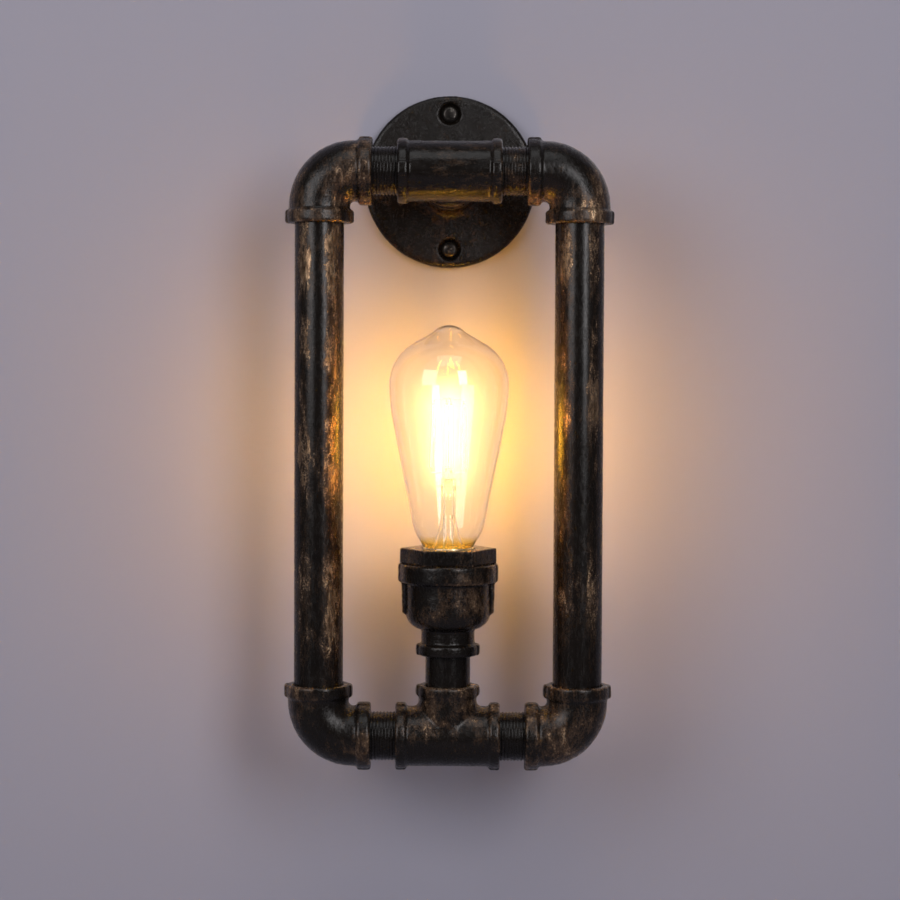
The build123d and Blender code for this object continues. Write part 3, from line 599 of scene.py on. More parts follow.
def finish_tree(tree, geometry, material, end):
    """Every tree ends by making its copies real and giving them their material."""
    real = grow(tree, "GeometryNodeRealizeInstances", Geometry=geometry)
    dressed = grow(tree, "GeometryNodeSetMaterial", Geometry=real.outputs[0], Material=material)
    tree.links.new(dressed.outputs[0], end.inputs[0])
    return tree


def grown(piece, tree, **values):
    """Runs a tree on a piece with values for its named inputs, and bakes the result."""
    modifier = piece.modifiers.new(tree.name, "NODES")
    modifier.node_group = tree
    sockets = {s.name: s.identifier for s in tree.interface.items_tree if s.in_out == "INPUT"}
    for key, value in values.items():
        modifier[sockets[key.replace("_", " ")]] = value
    return baked(piece)


print("a small language for geometry trees is ready")

# %% [markdown]
# Sand leaves two kinds of roughness: lumps of about a centimetre, where the mould was rammed, and
# grains of a millimetre or two. The seam of the mould is a low ridge in the plane where its
# halves met, which is the loop's own plane. The tree adds the three and moves each point.

# %% The sandy skin of a casting
def sand_cast_tree():
    """A tree that gives a casting its lumps, its grains and the seam of its mould."""
    tree, start, end = geometry_tree(
        "sand_cast_skin", Lump_height=0.00022, Lump_size=0.009, Sand_height=0.00009,
        Sand_size=0.0021, Seam_height=0.00022, Seam_width=0.0007, Seam_y=LOOP_Y, Seed=1.0,
        Finish=None)
    size = start.outputs
    here = grow(tree, "GeometryNodeInputPosition").outputs[0]
    shift = grow(tree, "ShaderNodeCombineXYZ", X=size["Seed"], Y=size["Seed"]).outputs[0]
    where = tree.nodes.new("ShaderNodeVectorMath")
    tree.links.new(here, where.inputs[0])
    tree.links.new(shift, where.inputs[1])

    def bumps(height, width):
        scale = maths(tree, "DIVIDE", 1.0, size[width])
        waves = grow(tree, "ShaderNodeTexNoise", Vector=where.outputs[0], Scale=scale, Detail=3.0)
        centred = maths(tree, "SUBTRACT", waves.outputs["Fac"], 0.5)
        return maths(tree, "MULTIPLY", centred, maths(tree, "MULTIPLY", size[height], 2.0))

    y = grow(tree, "ShaderNodeSeparateXYZ", Vector=here).outputs["Y"]
    away = maths(tree, "DIVIDE", maths(tree, "SUBTRACT", y, size["Seam y"]), size["Seam width"])
    squared = maths(tree, "MULTIPLY", away, away)
    fall = maths(tree, "POWER", 2.718, maths(tree, "MULTIPLY", squared, -1.0))
    push = maths(tree, "MULTIPLY", fall, size["Seam height"])
    push = maths(tree, "ADD", push, bumps("Lump height", "Lump size"))
    push = maths(tree, "ADD", push, bumps("Sand height", "Sand size"))
    along = tree.nodes.new("ShaderNodeVectorMath")
    along.operation = "SCALE"
    tree.links.new(grow(tree, "GeometryNodeInputNormal").outputs[0], along.inputs[0])
    tree.links.new(push, along.inputs["Scale"])
    moved = grow(tree, "GeometryNodeSetPosition", Geometry=size["Geometry"],
                 Offset=along.outputs[0])
    return finish_tree(tree, moved.outputs[0], size["Finish"], end)


sand_cast = sand_cast_tree()
print("tree", sand_cast.name, "has", len(sand_cast.nodes), "nodes")

# %% [markdown]
# The CAD mesh has long thin triangles that a skin can't move. So its copy is cut into even cubes
# first, fine enough for the lugs on the bands to stay, and a few rounds of smoothing melt the
# inner corners as molten iron would.

# %% From a CAD node to a casting
def merged_copy(node, name):
    """A copy of a CAD node's mesh with its loose triangles joined, free to be changed."""
    copy = bpy.data.objects.new(name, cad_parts[node].data.copy())
    bpy.context.scene.collection.objects.link(copy)
    copy.data.materials.clear()
    shape = bmesh.new()
    shape.from_mesh(copy.data)
    bmesh.ops.remove_doubles(shape, verts=shape.verts, dist=2e-6)
    plain = bpy.data.meshes.new(name)
    shape.to_mesh(plain)
    shape.free()
    copy.data = plain
    return copy


def casting(node, name, paint, seed, cube=0.00062, melt=7, **skin):
    """A casting with soft corners and a sandy skin, from the CAD node that it stands for."""
    piece = merged_copy(node, name)
    cubes = piece.modifiers.new("cubes", "REMESH")
    cubes.mode, cubes.voxel_size, cubes.use_smooth_shade = "VOXEL", cube, True
    soften = piece.modifiers.new("melt", "SMOOTH")
    soften.iterations, soften.factor = melt, 0.5
    baked(piece)
    grown(piece, sand_cast, Seed=float(seed), Finish=paint, **skin)
    piece.data.polygons.foreach_set("use_smooth", [True] * len(piece.data.polygons))
    return dress(piece, "fixture", "fitting_iron", node)


# %% [markdown]
# The four elbows are one recipe with four seeds, so no two have the same lumps. The flange and
# the hex bush came from flat moulds and show no seam. The bush is machined on its flats, so its
# skin is the finest.

# %% The castings of the light
for seed, corner in enumerate(("top_left", "top_right", "bottom_left", "bottom_right"), start=11):
    casting(corner + "_elbow", "cast_elbow_" + corner, elbow_paint, seed)
casting("top_tee", "cast_tee_on_arm", rail_paint, 15)
casting("bottom_tee", "cast_tee_under_cup", tee_paint, 16)
casting("reducer_cup", "cast_cup", cup_paint, 17)
casting("wall_flange", "cast_wall_flange", flange_paint, 18, cube=0.0008, melt=4, Seam_height=0.0)
casting("hex_bush", "cast_hex_bush", cup_paint, 19, cube=0.0005, melt=3, Seam_height=0.0,
        Lump_height=0.00008, Sand_height=0.00004)

# %% [markdown]
# ## Drawn pipes and cut threads
# The long pipes are drawn tube: straighter and smoother than the castings, so they get a shallow
# version of the same skin. The short nipples of the two rails are threaded right along, and the
# thread shows between the bands of the fittings. A screw thread follows a rule, so Geometry Nodes
# grows it: a spiral of the right pitch, swept with a small round section that is half sunk in the
# pipe.

# %% An upright pipe, and laying it down in its CAD box
PIPE_BORE = 22.1 * MM
RISER_BORE = 19.6 * MM
THREAD_PITCH = 1.814 * MM
THREAD_HEIGHT = 0.55 * MM


def pipe_profile(outer, inner, length, step=0.0012, end_break=0.0004):
    """The closed section of a pipe's wall, with rows close enough together to carry a skin."""
    rows = max(2, int(length / step))
    outside = [(outer, end_break + (length - 2 * end_break) * i / rows) for i in range(rows + 1)]
    return [(inner, 0), (outer - end_break, 0), *outside, (outer - end_break, length),
            (inner, length)]


def laid_along(piece, axis, low, high):
    """Lays an upright piece that was made on the origin into a box, along X, Y or Z."""
    turns = {"Z": Matrix.Identity(4), "X": Matrix.Rotation(math.radians(90), 4, "Y"),
             "Y": Matrix.Rotation(math.radians(-90), 4, "X")}
    start = (low + high) / 2
    start["XYZ".index(axis)] = low["XYZ".index(axis)]
    piece.data.transform(Matrix.Translation(start) @ turns[axis])
    return piece


print("pipe bores", PIPE_BORE, "and", RISER_BORE)

# %% [markdown]
# The thread's tree works on an upright piece at the origin, before it is laid down, because a
# spiral in Geometry Nodes stands upright. The number of turns follows from the length and the
# pitch, so one tree cuts the pipes' threads and the wood screws'.

# %% The tree of a cut thread
def cut_thread_tree():
    """A tree that adds a helical ridge round the upright piece it is put on."""
    tree, start, end = geometry_tree("cut_thread", Root_radius=0.01, Low=0.0, High=0.03,
                                     Pitch=0.0018, Height=0.0005, Finish=None)
    size = start.outputs
    length = maths(tree, "SUBTRACT", size["High"], size["Low"])
    spiral = grow(tree, "GeometryNodeCurveSpiral", Resolution=48,
                  Rotations=maths(tree, "DIVIDE", length, size["Pitch"]),
                  Start_Radius=size["Root radius"], End_Radius=size["Root radius"], Height=length)
    lift = grow(tree, "ShaderNodeCombineXYZ", Z=size["Low"])
    placed = grow(tree, "GeometryNodeSetPosition", Geometry=spiral.outputs[0],
                  Offset=lift.outputs[0])
    section = grow(tree, "GeometryNodeCurvePrimitiveCircle", Resolution=6, Radius=size["Height"])
    ridge = grow(tree, "GeometryNodeCurveToMesh", Curve=placed.outputs[0],
                 Profile_Curve=section.outputs[0], Fill_Caps=True)
    both = grow(tree, "GeometryNodeJoinGeometry")
    tree.links.new(size["Geometry"], both.inputs[0])
    tree.links.new(ridge.outputs[0], both.inputs[0])
    return finish_tree(tree, both.outputs[0], size["Finish"], end)


cut_thread = cut_thread_tree()
print("tree", cut_thread.name, "has", len(cut_thread.nodes), "nodes")

# %% [markdown]
# Each pipe takes its length and width from the box of its CAD node, so it can't be of another
# size than the solid it stands for.

# %% Long pipes and threaded nipples
def drawn_pipe(node, name, axis, bore, paint, seed):
    """A long smooth pipe in the place of its CAD node."""
    low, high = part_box(node)
    length = (high - low)["XYZ".index(axis)]
    outer = sorted(high - low)[0] / 2
    piece = lathe(name, pipe_profile(outer, bore / 2, length), (0, 0, 0), 112, closed=True)
    laid_along(piece, axis, low, high)
    grown(piece, sand_cast, Seed=float(seed), Finish=paint, Lump_height=0.00012, Lump_size=0.022,
          Sand_height=0.00003, Seam_height=0.0)
    return dress(piece, "fixture", "pipe_steel", node)


def threaded_nipple(node, name, axis, bore, paint):
    """A short pipe with a thread along all of it, in the place of its CAD node."""
    low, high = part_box(node)
    length = (high - low)["XYZ".index(axis)]
    outer = sorted(high - low)[0] / 2
    root = outer - THREAD_HEIGHT
    piece = lathe(name, pipe_profile(root, bore / 2, length), (0, 0, 0), 96, closed=True)
    grown(piece, cut_thread, Root_radius=root, Low=MM, High=length - MM,
          Pitch=THREAD_PITCH, Height=THREAD_HEIGHT, Finish=paint)
    laid_along(piece, axis, low, high)
    piece.data.polygons.foreach_set("use_smooth", [True] * len(piece.data.polygons))
    return dress(piece, "fixture", "pipe_steel", node)


# %% [markdown]
# Four smooth pipes, two upright beside the bulb, one under the cup and one to the wall, and four
# threaded nipples in the rails.

# %% The pipes and nipples of the light
drawn_pipe("left_pipe", "drawn_pipe_left", "Z", PIPE_BORE, left_paint, 21)
drawn_pipe("right_pipe", "drawn_pipe_right", "Z", PIPE_BORE, right_paint, 22)
drawn_pipe("riser_nipple", "drawn_riser", "Z", RISER_BORE, riser_paint, 23)
drawn_pipe("arm_nipple", "drawn_arm", "Y", PIPE_BORE, rail_paint, 24)
for node in ("top_left_nipple", "top_right_nipple", "bottom_left_nipple", "bottom_right_nipple"):
    threaded_nipple(node, "threaded_" + node, "X", PIPE_BORE, thread_paint)

# %% [markdown]
# ## Wall screws
# Two pan-head screws hold the flange, one over the other. A real one is rolled: a low domed head
# with a cross recess, a plain shank and a coarse wood thread that runs out to a point. One screw
# is turned and cut in the origin. Geometry Nodes then set it in each hole of a column, because
# the places follow from the bolt circle, and give each its own chance turn.

# %% One wood screw, head towards the room
def cross_cutter(name, width, reach, low, high):
    """Two crossed wedges that are narrower at the bottom, for a cross recess."""
    points, faces = [], []
    for along in ((1, 0), (0, 1)):
        start = len(points)
        for height, share in ((low, 0.45), (high, 1.0)):
            for a, b in ((-1, -1), (1, -1), (1, 1), (-1, 1)):
                long_side, short_side = a * reach * share, b * width / 2 * share
                points.append((long_side * along[0] + short_side * along[1],
                               long_side * along[1] + short_side * along[0], height))
        faces += [[start + i for i in face] for face in (
            (3, 2, 1, 0), (4, 5, 6, 7), (0, 1, 5, 4), (1, 2, 6, 5), (2, 3, 7, 6), (3, 0, 4, 7))]
    return outward(as_piece(name, points, faces, smooth=False))


def cut_away(piece, *cutters):
    """Subtracts the cutters from the piece and removes them."""
    for cutter in cutters:
        cut = piece.modifiers.new("cut", "BOOLEAN")
        cut.object, cut.operation, cut.solver = cutter, "DIFFERENCE", "EXACT"
        baked(piece)
        bpy.data.objects.remove(cutter)
    return piece


print("tools for a cross recess are ready")

# %% [markdown]
# The screw is turned like the real one: a shallow dome, a short rim with broken edges, a plain
# shank for the first third and a thinner core that the thread will climb. The recess is cut last.

# %% The screw's body
DOME_R, DOME_REACH = 15 * MM, 13.5            # the dome's radius and its half angle in degrees
EDGE_BREAK, SCREW_TIP = 0.2 * MM, 0.6 * MM
RECESS_WIDTH, RECESS_REACH, RECESS_DEPTH = 1.5 * MM, 2.4 * MM, 1.6 * MM


def wood_screw(name, head_radius, head_height, shank_radius, thread_radius, length, point):
    """An upright screw with its head on top; its seat is at height 0."""
    dome = arc((0, head_height - DOME_R), DOME_R, 90, 90 - DOME_REACH, 6)
    rim = [(head_radius - EDGE_BREAK, head_height * 0.62), (head_radius, head_height * 0.5),
           (head_radius, EDGE_BREAK), (head_radius - EDGE_BREAK, 0)]
    shank = [(shank_radius, 0), (shank_radius, -length * 0.30), (thread_radius, -length * 0.33)]
    core = [(thread_radius, -length + point), (SCREW_TIP, -length + SCREW_TIP), (0, -length)]
    piece = lathe(name, dome + rim + shank + core, (0, 0, 0), 48)
    return cut_away(piece, cross_cutter("recess", RECESS_WIDTH, RECESS_REACH,
                                        head_height - RECESS_DEPTH, head_height + 0.8 * MM))


print("recess", RECESS_WIDTH, "wide and", RECESS_DEPTH, "deep")

# %% [markdown]
# Two holes of the bolt circle stand over each other, so the screws form a column: a count, the
# place of the first and the step to the next. A chance turn about the screw's own axis keeps the
# recesses from lining up, which they never do on a real wall.

# %% A tree that sets a screw in each hole of a column
def screw_column_tree():
    """A tree that puts the screw in a column of holes, each with its own turn."""
    tree, start, end = geometry_tree("screw_column", Count=2, Top=(0.0, 0.0, 0.0),
                                     Step=(0.0, 0.0, -0.077), Seed=1, Finish=None)
    size = start.outputs
    column = grow(tree, "GeometryNodeMeshLine", Count=size["Count"], Start_Location=size["Top"],
                  Offset=size["Step"])
    chance = grow(tree, "FunctionNodeRandomValue", {"data_type": "FLOAT"}, Seed=size["Seed"])
    turn = maths(tree, "MULTIPLY", chance.outputs[1], 6.283)
    facing = grow(tree, "ShaderNodeCombineXYZ", X=math.radians(90), Y=turn)
    placed = grow(tree, "GeometryNodeInstanceOnPoints", Points=column.outputs[0],
                  Instance=size["Geometry"], Rotation=facing.outputs[0])
    return finish_tree(tree, placed.outputs[0], size["Finish"], end)


screw_column = screw_column_tree()
print("tree", screw_column.name, "has", len(screw_column.nodes), "nodes")

# %% [markdown]
# The screws are blackened steel, rubbed a little brighter on their edges by the driver. The small
# screws inside the lampholder are zinc plated, and one function makes both.

# %% Screw metals
def screw_metal(name, bright, dark, grit):
    """Steel with a thin worn finish: darker in patches, brighter on the edges."""
    material, tree, surface = new_material(name)
    here = place_on(tree)
    worn = fade(tree, add(tree, "NewGeometry").outputs["Pointiness"], 0.50, 0.60)
    patch = cloud(tree, here, 420, 5, 0.65)
    share = maths(tree, "MAXIMUM", worn, fade(tree, patch, 0.52, 0.72))
    join(tree, blend(tree, share, (*dark, 1), (*bright, 1)), surface.inputs["Base Color"])
    surface.inputs["Metallic"].default_value = 0.9
    join(tree, fade(tree, patch, 0.3, 0.8, 0.42, 0.26), surface.inputs["Roughness"])
    bump = add(tree, "Bump", Strength=0.4, Distance=0.0001, Height=cloud(tree, here, grit, 4, 0.6))
    join(tree, bump.outputs["Normal"], surface.inputs["Normal"])
    return material


screw_steel = screw_metal("blackened_screw_steel", (0.15, 0.135, 0.12), (0.012, 0.010, 0.009),
                          2600)
zinc_steel = screw_metal("zinc_plated_steel", (0.72, 0.74, 0.76), (0.42, 0.45, 0.46), 3200)
print("screw metals made")

# %% [markdown]
# The screws' length and places come from the box of their CAD node: its front is the heads' top,
# its back the points, and its top and foot are the rims of the two heads.

# %% The two screws of the flange
low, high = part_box("wall_screws")
HEAD_RADIUS, HEAD_HEIGHT, SHANK_R, CORE_R = 4.3 * MM, 2.9 * MM, 2.4 * MM, 1.75 * MM
SEAT_Y, POINT = low.y + HEAD_HEIGHT, 5 * MM
SCREW_LENGTH = high.y - SEAT_Y
screw = wood_screw("wood_screws", HEAD_RADIUS, HEAD_HEIGHT, SHANK_R, CORE_R, SCREW_LENGTH, POINT)
grown(screw, cut_thread, Root_radius=CORE_R, Low=-SCREW_LENGTH + POINT, High=-9.5 * MM,
      Pitch=1.8 * MM, Height=0.38 * MM, Finish=screw_steel)
grown(screw, screw_column, Count=2, Top=(0.0, SEAT_Y, high.z - HEAD_RADIUS),
      Step=(0.0, 0.0, low.z - high.z + 2 * HEAD_RADIUS), Seed=4, Finish=screw_steel)
dress(screw, "fixture", "screw_steel", "wall_screws")

# %% [markdown]
# ## The bulb's glass
# The glass is a long pear with a small tip where it was sealed off. It is blown into a mould, so
# its section is a chain of arcs and one straight taper, and a lathe is the natural way to make
# it. The inner surface is the same outline moved in by the wall's thickness. Both are one closed
# skin, because a glass shader needs the true wall to bend light twice.

# %% The outline of the glass, as (radius, height over the cap's rim)
GLASS_WALL = 0.9 * MM
WIDEST_R, WIDEST_H = 32.5 * MM, 88.8 * MM
SHOULDER_R, CONE_SLOPE = 25 * MM, 30
TIP_R, TIP_RING = 12 * MM, 8.9 * MM
SIDE_R, SIDE_SLOPE = 110 * MM, 11.2
CHIN_SLOPE, CHIN_FOOT_R, CHIN_FOOT_H = 33, 13.3 * MM, 0.2 * MM
NECK_R, NECK_IN_CAP = 12.4 * MM, 4 * MM


def flat_softened(points, bend, steps=8):
    """Softens the corners of an outline in its plane."""
    return [(p.x, p.y) for p in softened([Vector((r, h, 0)) for r, h in points], bend, steps)]


def glass_outline():
    """From the foot of the neck up to the tip."""
    shoulder = arc((WIDEST_R - SHOULDER_R, WIDEST_H), SHOULDER_R, 0, 90 - CONE_SLOPE, 22)
    top_r, top_h = shoulder[-1]
    ring_h = top_h + (top_r - TIP_RING) * math.tan(math.radians(CONE_SLOPE))
    ball_h = ring_h - math.sqrt(TIP_R**2 - TIP_RING**2)
    ring_turn = math.degrees(math.acos(TIP_RING / TIP_R))
    ball = arc((0, ball_h), TIP_R, ring_turn, 90, 14)
    side = arc((WIDEST_R - SIDE_R, WIDEST_H), SIDE_R, -SIDE_SLOPE, 0, 12)[:-1]
    side_r, side_h = side[0]
    lean, chin = math.tan(math.radians(SIDE_SLOPE)), math.tan(math.radians(CHIN_SLOPE))
    corner_h = (side_r - side_h * lean - CHIN_FOOT_R + CHIN_FOOT_H * chin) / (chin - lean)
    corner_r = CHIN_FOOT_R + (corner_h - CHIN_FOOT_H) * chin
    neck_h = CHIN_FOOT_H - (CHIN_FOOT_R - NECK_R) / chin
    foot = flat_softened([(NECK_R, -NECK_IN_CAP), (NECK_R, neck_h), (corner_r, corner_h),
                          (side_r, side_h)], 4 * MM)
    tip = flat_softened([shoulder[-1], (TIP_RING, ring_h), ball[3]], 2.4 * MM)
    return foot[:-1] + side + shoulder[:-1] + tip + ball[4:-1] + [(0, ball_h + TIP_R)]


outline = glass_outline()
print("glass height", round(outline[-1][1] / MM, 2), "mm over the cap's rim")

# %% [markdown]
# The inner skin follows from the outer one: each point moves in, square to the outline, by the
# wall's thickness. Outer and inner rows make one closed loop, and the lathe turns it.

# %% The glass as one closed wall
def moved_in(outline, depth):
    """The same outline, moved inwards by a depth, from the tip back to the foot."""
    inner = []
    for i, (r, h) in enumerate(outline):
        if r == 0:
            inner.append((0, h - depth))
            continue
        before, after = outline[max(i - 1, 0)], outline[min(i + 1, len(outline) - 1)]
        along = Vector((after[0] - before[0], after[1] - before[1])).normalized()
        inner.append((r - along.y * depth, h + along.x * depth))
    inner[0] = (inner[0][0], outline[0][1])
    return inner[::-1]


BULB_FOOT = (0, LOOP_Y, CAP_RIM_Z)
glass = lathe("blown_glass", outline + moved_in(outline, GLASS_WALL), BULB_FOOT, 144, closed=True)
print("glass faces", len(glass.data.polygons))

# %% [markdown]
# The glass is clear with the faintest warm tint. Its gloss isn't quite perfect: blown glass has a
# soft ripple, and hands leave faint smears.

# %% Clear glass
def clear_glass(name, tint):
    """Clean glass with a soft ripple and a few faint smears."""
    material, tree, surface = new_material(name)
    here = place_on(tree)
    surface.inputs["Base Color"].default_value = (*tint, 1)
    surface.inputs["Transmission Weight"].default_value = 1.0
    surface.inputs["IOR"].default_value = 1.38
    join(tree, fade(tree, cloud(tree, here, 180, 4, 0.6), 0.45, 0.75, 0.0, 0.03),
         surface.inputs["Roughness"])
    bump = add(tree, "Bump", Strength=0.12, Distance=0.0006, Height=cloud(tree, here, 60, 2, 0.5))
    join(tree, bump.outputs["Normal"], surface.inputs["Normal"])
    return material, tree, surface


blown_glass, glass_tree, glass_surface = clear_glass("blown_glass", (1.0, 0.985, 0.96))
stem_glass = clear_glass("stem_glass", (0.99, 0.985, 0.965))[0]
print("two clear glasses made")

# %% [markdown]
# The halo round the lit filaments is a painted glow: an emission of the glass, which is no lamp. It
# is deepest where one looks through the middle of the bulb, and falls off towards the rim and away
# from the filaments. The glass is kept out of the shadow test, so that the filaments light the
# room without the noise that light bent by glass would make.

# %% The painted glow
def add_painted_glow(tree, surface, middle, core, veil):
    """The painted glow round the filaments, an emission of the glass: a tight core in a wide veil,
    both deepest where the bulb is looked through at its thickest. The foot's gold tint is a painted
    reflection of the lit cap."""
    height = add(tree, "SeparateXYZ", Vector=place_on(tree)).outputs["Z"]
    away = maths(tree, "ABSOLUTE", maths(tree, "SUBTRACT", height, middle))
    facing = maths(tree, "SUBTRACT", 1.0, add(tree, "LayerWeight", Blend=0.5).outputs["Facing"])
    tight = maths(tree, "MULTIPLY", fade(tree, away, 36 * MM, 10 * MM),
                  maths(tree, "POWER", facing, 20.0))
    wide = maths(tree, "MULTIPLY", fade(tree, away, 84 * MM, 10 * MM),
                 maths(tree, "POWER", facing, 1.8))
    strength = maths(tree, "MULTIPLY_ADD", wide, veil, maths(tree, "MULTIPLY", tight, core))
    # Painted glow: the glass emits warm light that stands for the halo round the filaments.
    surface.inputs["Emission Color"].default_value = (1.0, 0.62, 0.20, 1)
    join(tree, strength, surface.inputs["Emission Strength"])
    # Painted reflection: the glass's foot is tinted gold where the lit cap shows in it.
    foot = fade(tree, height, CAP_RIM_Z + 5.0 * MM, CAP_RIM_Z + 2.6 * MM)
    clear = tuple(surface.inputs["Base Color"].default_value)
    join(tree, blend(tree, foot, clear, (0.96, 0.79, 0.30, 1)), surface.inputs["Base Color"])


FILAMENT_MIDDLE = CAP_RIM_Z + 61 * MM
add_painted_glow(glass_tree, glass_surface, FILAMENT_MIDDLE, core=1.0, veil=0.20)
glass.data.materials.append(blown_glass)
glass.visible_shadow = False
dress(glass, "bulb", "bulb_glass", "bulb_glass")

# %% [markdown]
# ## Stem, wires and filaments
# Inside stands a glass stem: a tube whose foot flares out to be fused to the neck, and whose top
# was pinched flat while hot to grip the wires. It is lofted from rings that go from round to
# flat. Two wires feed the lower ends of four filaments, and a centre wire holds the upper ends
# like a small umbrella.

# %% A skin over rings that change shape
def lofted(name, rings, middle, segments=48):
    """A closed skin over rings of (height, half width, half depth), from pole to pole or round."""
    points, rows, faces = [], [], []
    for height, half_width, half_depth in rings:
        flat = 1 - half_depth / half_width
        rows.append(range(len(points), len(points) + segments))
        for s in range(segments):
            turn = 2 * math.pi * s / segments
            c, d = math.cos(turn), math.sin(turn)
            power = 1 - 0.45 * flat
            points.append((middle[0] + half_width * math.copysign(abs(c) ** power, c),
                           middle[1] + half_depth * math.copysign(abs(d) ** power, d),
                           middle[2] + height))
    for low_row, high_row in zip(rows, list(rows[1:]) + [rows[0]]):
        for s in range(segments):
            n = (s + 1) % segments
            faces.append((low_row[s], low_row[n], high_row[n], high_row[s]))
    return outward(as_piece(name, points, faces))


print("lofting is ready")

# %% [markdown]
# The rings run up the outside, over the closed top and down the hollow. They give a bell that
# opens to the neck, a plain tube of about 8 mm, and the flat press.

# %% The stem
STEM_R, STEM_WALL, FLARE = 4.1 * MM, 0.9 * MM, 7.2 * MM
FLARE_TOP, FLARE_FOOT = 22 * MM, -4 * MM


def flare_radius(height):
    """The stem's outer radius in its flared foot."""
    t = min(max((FLARE_TOP - height) / (FLARE_TOP - FLARE_FOOT), 0), 1)
    return STEM_R + FLARE * t ** 2.3


heights = [(-4 + 2 * i) * MM for i in range(14)] + [27 * MM, 30 * MM]
outside = [(h, flare_radius(h), flare_radius(h)) for h in heights]
pinch = [(31.5, 4.1, 3.7), (32.5, 4.15, 2.7), (33.3, 4.15, 1.9), (34.2, 4.1, 1.6),
         (36.2, 4.1, 1.6), (37.0, 4.0, 1.45), (37.4, 3.6, 1.0), (37.5, 2.0, 0.4)]
outside += [(h * MM, w * MM, d * MM) for h, w, d in pinch]
hollow = [(32.0, 2.0, 0.5), (31.5, 2.7, 1.7), (30.0, 3.1, 2.9)]
inside = [(h * MM, w * MM, d * MM) for h, w, d in hollow]
inside += [(h, flare_radius(h) - STEM_WALL, flare_radius(h) - STEM_WALL)
           for h in heights[::-1][1:]]
stem = lofted("glass_stem", outside + inside, BULB_FOOT)
stem.data.materials.append(stem_glass)
stem.visible_shadow = False
dress(stem, "bulb", "clear_glass", "bulb_stem")

# %% [markdown]
# The wires are nickel-plated, and their routes follow from the ring of filaments: each filament's
# foot and top is a place on a circle. The same numbers place the filaments later, so wire and
# filament always meet.

# %% Wire metal and the ring of filaments
def bright_wire(name, bright, dark):
    """Drawn wire: bright metal with fine draw marks along it."""
    material, tree, surface = new_material(name)
    marks = cloud(tree, place_on(tree, stretch=(1, 1, 0.12)), 2600, 4, 0.6)
    join(tree, blend(tree, marks, (*dark, 1), (*bright, 1)), surface.inputs["Base Color"])
    surface.inputs["Metallic"].default_value = 1.0
    join(tree, fade(tree, marks, 0.3, 0.7, 0.22, 0.42), surface.inputs["Roughness"])
    return material


nickel_wire = bright_wire("nickel_wire", (0.78, 0.74, 0.68), (0.45, 0.42, 0.39))
WIRE, PRESS_TOP = 0.7 * MM, 37.5 * MM
FILAMENT_COUNT, FILAMENT_TURN = 4, 8          # the turn of the first, in degrees
FOOT_RING, TOP_RING = 9.6 * MM, 8.2 * MM
FOOT_H, TOP_H = 41.5 * MM, 79.5 * MM
print(FILAMENT_COUNT, "filaments of", round((TOP_H - FOOT_H) / MM, 1), "mm")

# %% [markdown]
# Two feed wires come up through the press and branch to the feet of the filaments, half of them
# each. The centre wire ends in a hub over the filaments, and an arm goes down to each.

# %% Routes of the wires
def in_bulb(x, y, height):
    """A place from the bulb's axis and the height over its cap's rim."""
    return (BULB_FOOT[0] + x, BULB_FOOT[1] + y, BULB_FOOT[2] + height)


def round_axis(index, radius, height):
    """The place of one filament's end on a ring."""
    turn = math.radians(FILAMENT_TURN + index * 360 / FILAMENT_COUNT)
    return in_bulb(radius * math.cos(turn), radius * math.sin(turn), height)


def feed_routes():
    """Two stalks through the press, each with an arm to two of the filaments' feet."""
    routes, arm = [], FOOT_H - 0.8 * MM
    for side in (-1, 1):
        root = in_bulb(side * 2.4 * MM, 0, arm)
        routes.append([in_bulb(side * 2.4 * MM, 0, -5.45 * MM), root])
        for index in range(FILAMENT_COUNT):
            x, y, _ = round_axis(index, FOOT_RING, arm)
            if (x - (y - LOOP_Y)) * side > 0:
                routes.append([root, (x, y, root[2]), (x, y, BULB_FOOT[2] + FOOT_H + 0.3 * MM)])
    return routes


def umbrella_routes():
    """The centre wire from the press, and an arm down to the top of each filament."""
    hub = in_bulb(0, 0, TOP_H + 1.6 * MM)
    routes = [[in_bulb(0, 0, PRESS_TOP - 2.5 * MM), hub]]
    for index in range(FILAMENT_COUNT):
        x, y, z = round_axis(index, TOP_RING, TOP_H)
        routes.append([hub, (x, y, z + 0.75 * MM), (x, y, z - 0.3 * MM)])
    return routes


print(len(feed_routes()), "routes of feed wire,", len(umbrella_routes()), "of the umbrella")

# %% [markdown]
# Each set is one piece, swept from its routes with small bends at the corners.

# %% The two sets of wires
for name, routes, node in (("feed_wires", feed_routes(), "filament_wires"),
                           ("umbrella_wires", umbrella_routes(), "support_wires")):
    wires = wire(name, routes, WIRE, bend=0.9 * MM)
    wires.data.materials.clear()
    wires.data.materials.append(nickel_wire)
    dress(wires, "bulb", "wire_metal", node)

# %% [markdown]
# A filament is a glass strip with a row of tiny chips under a yellow coat, and a metal tab at
# each end. The four stand in a ring and lean in a little at the top. That is a rule, so one
# filament is made and Geometry Nodes place it round the axis. The coat shines amber, so strongly
# that it burns out to white in a picture, and a bit brighter over each chip.

# %% The coat, and a bar with rounded edges
CHIP_PITCH = 1.35 * MM


def lit_coat(name, colour, strength):
    """The lit yellow coat, with the pulse of the chips under it."""
    material, tree, surface = new_material(name)
    here = place_on(tree)
    height = add(tree, "SeparateXYZ", Vector=here).outputs["Z"]
    beat = maths(tree, "SINE", maths(tree, "MULTIPLY", height, 2 * math.pi / CHIP_PITCH))
    grain = cloud(tree, here, 1500, 3, 0.6)
    join(tree, blend(tree, grain, (0.80, 0.52, 0.12, 1), (0.95, 0.72, 0.28, 1)),
         surface.inputs["Base Color"])
    surface.inputs["Roughness"].default_value = 0.55
    surface.inputs["Emission Color"].default_value = (*colour, 1)
    join(tree, maths(tree, "MULTIPLY_ADD", beat, strength * 0.18, strength),
         surface.inputs["Emission Strength"])
    return material


